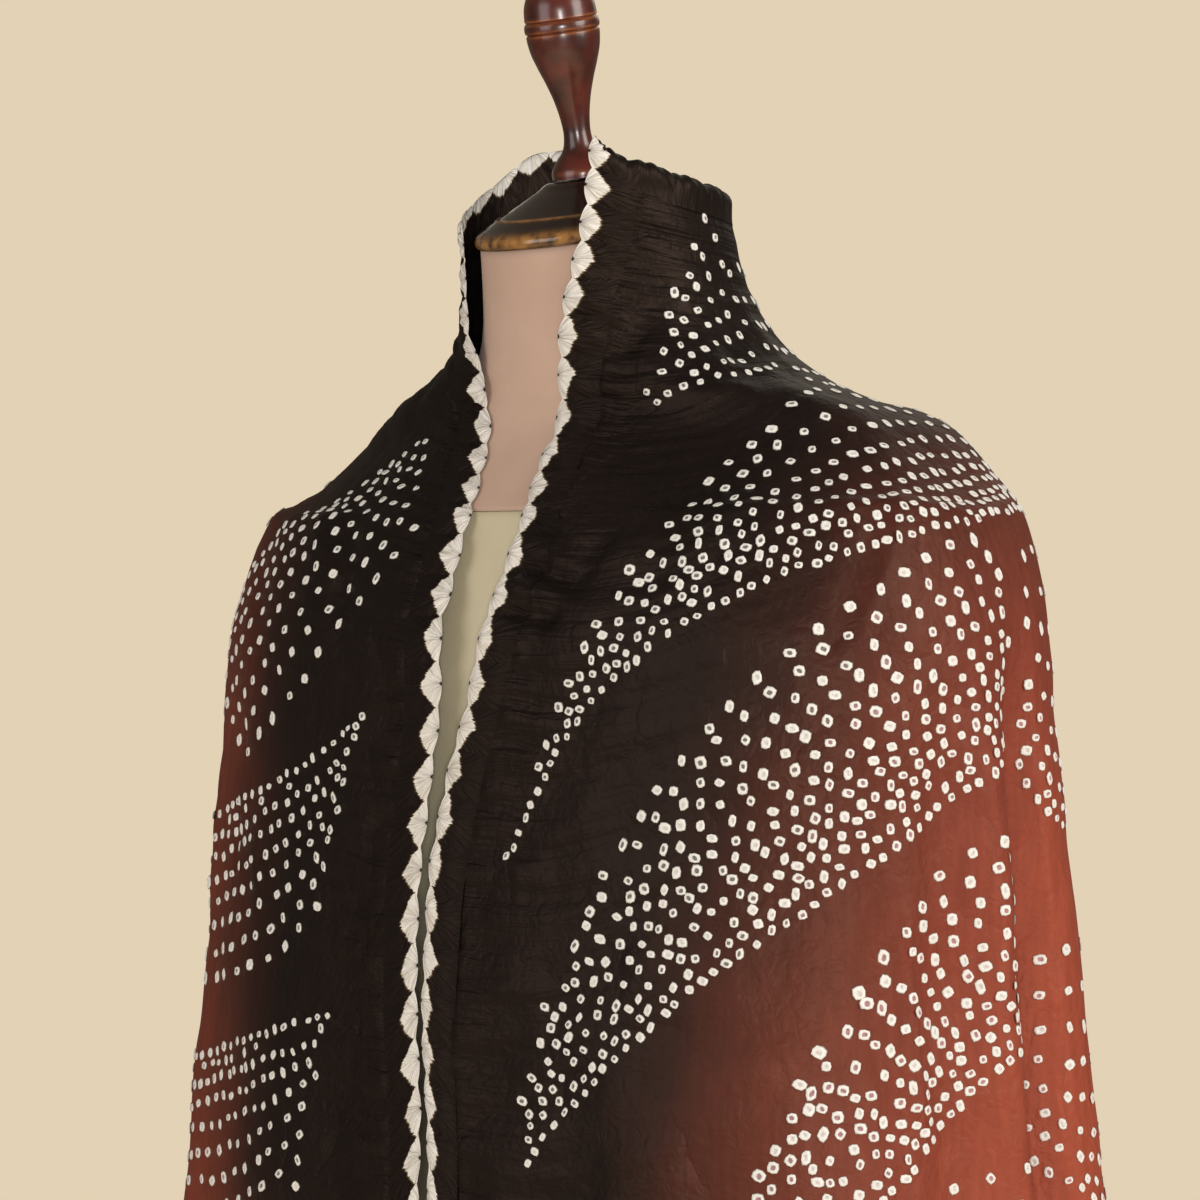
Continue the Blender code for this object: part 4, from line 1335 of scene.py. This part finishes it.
scene = bpy.context.scene
scene.view_settings.view_transform = "Standard"
world = bpy.data.worlds.new("studio")
scene.world = world
world.use_nodes = True
world_tree = world.node_tree
STUDIO_TINT = colour(238, 222, 200)
BACKDROP_TINT = colour(227, 210, 181)
shown = world_tree.nodes["Background"].outputs["Background"]
world_tree.nodes["Background"].inputs["Color"].default_value = STUDIO_TINT
world_tree.nodes["Background"].inputs["Strength"].default_value = 0.34
rays = add_node(world_tree, "ShaderNodeLightPath").outputs
for ray, tint, strength in (("Is Glossy Ray", STUDIO_TINT, 0.14), ("Is Camera Ray", BACKDROP_TINT, 1.0)):
    other = add_node(world_tree, "ShaderNodeBackground", Color=tint, Strength=strength)
    mixed = world_tree.nodes.new("ShaderNodeMixShader")
    world_tree.links.new(rays[ray], mixed.inputs["Fac"])
    world_tree.links.new(shown, mixed.inputs[1])
    world_tree.links.new(other.outputs["Background"], mixed.inputs[2])
    shown = mixed.outputs["Shader"]
world_tree.links.new(shown, world_tree.nodes["World Output"].inputs["Surface"])

CAMERA_AZIMUTH = math.radians(43.0)
CAMERA_DISTANCE = 2.5
CAMERA_TARGET = Vector((-0.0205, -0.0191, 1.275))
CAMERA_LENS = 142.0
toward = Vector((math.sin(CAMERA_AZIMUTH), -math.cos(CAMERA_AZIMUTH), 0.0))
rightward = Vector((math.cos(CAMERA_AZIMUTH), math.sin(CAMERA_AZIMUTH), 0.0))


def add_area(name, right, front, height, size, power, tint, aim=(0.0, 0.0, 1.2)):
    """A soft light placed by metres to the camera's right, towards the camera, and up."""
    light = bpy.data.lights.new(name, "AREA")
    light.shape = "RECTANGLE"
    light.size, light.size_y = size
    light.energy = power
    light.color = tint[:3]
    obj = bpy.data.objects.new(name, light)
    scene.collection.objects.link(obj)
    obj.location = rightward * right + toward * front + Vector((0.0, 0.0, height))
    obj.rotation_euler = (Vector(aim) - obj.location).to_track_quat("-Z", "Y").to_euler()
    return obj


add_area("key", 1.9, 1.3, 2.1, (1.2, 1.6), 33.0, colour(255, 249, 242))
add_area("fill", -1.9, 1.5, 1.6, (1.4, 1.6), 15.0, colour(252, 248, 248))
add_area("front", 0.0, 3.0, 1.2, (0.4, 0.6), 30.0, colour(255, 250, 246), (0.0, 0.0, 1.05))
add_area("rim", 0.6, -1.6, 2.4, (1.2, 1.0), 2.5, colour(255, 244, 228))

camera_data = bpy.data.cameras.new("photo_view")
camera = bpy.data.objects.new("photo_view", camera_data)
scene.collection.objects.link(camera)
scene.camera = camera
camera_data.lens = CAMERA_LENS
camera_data.sensor_width = 36.0
camera.location = CAMERA_TARGET + toward * CAMERA_DISTANCE
camera.rotation_euler = (-toward).to_track_quat("-Z", "Y").to_euler()
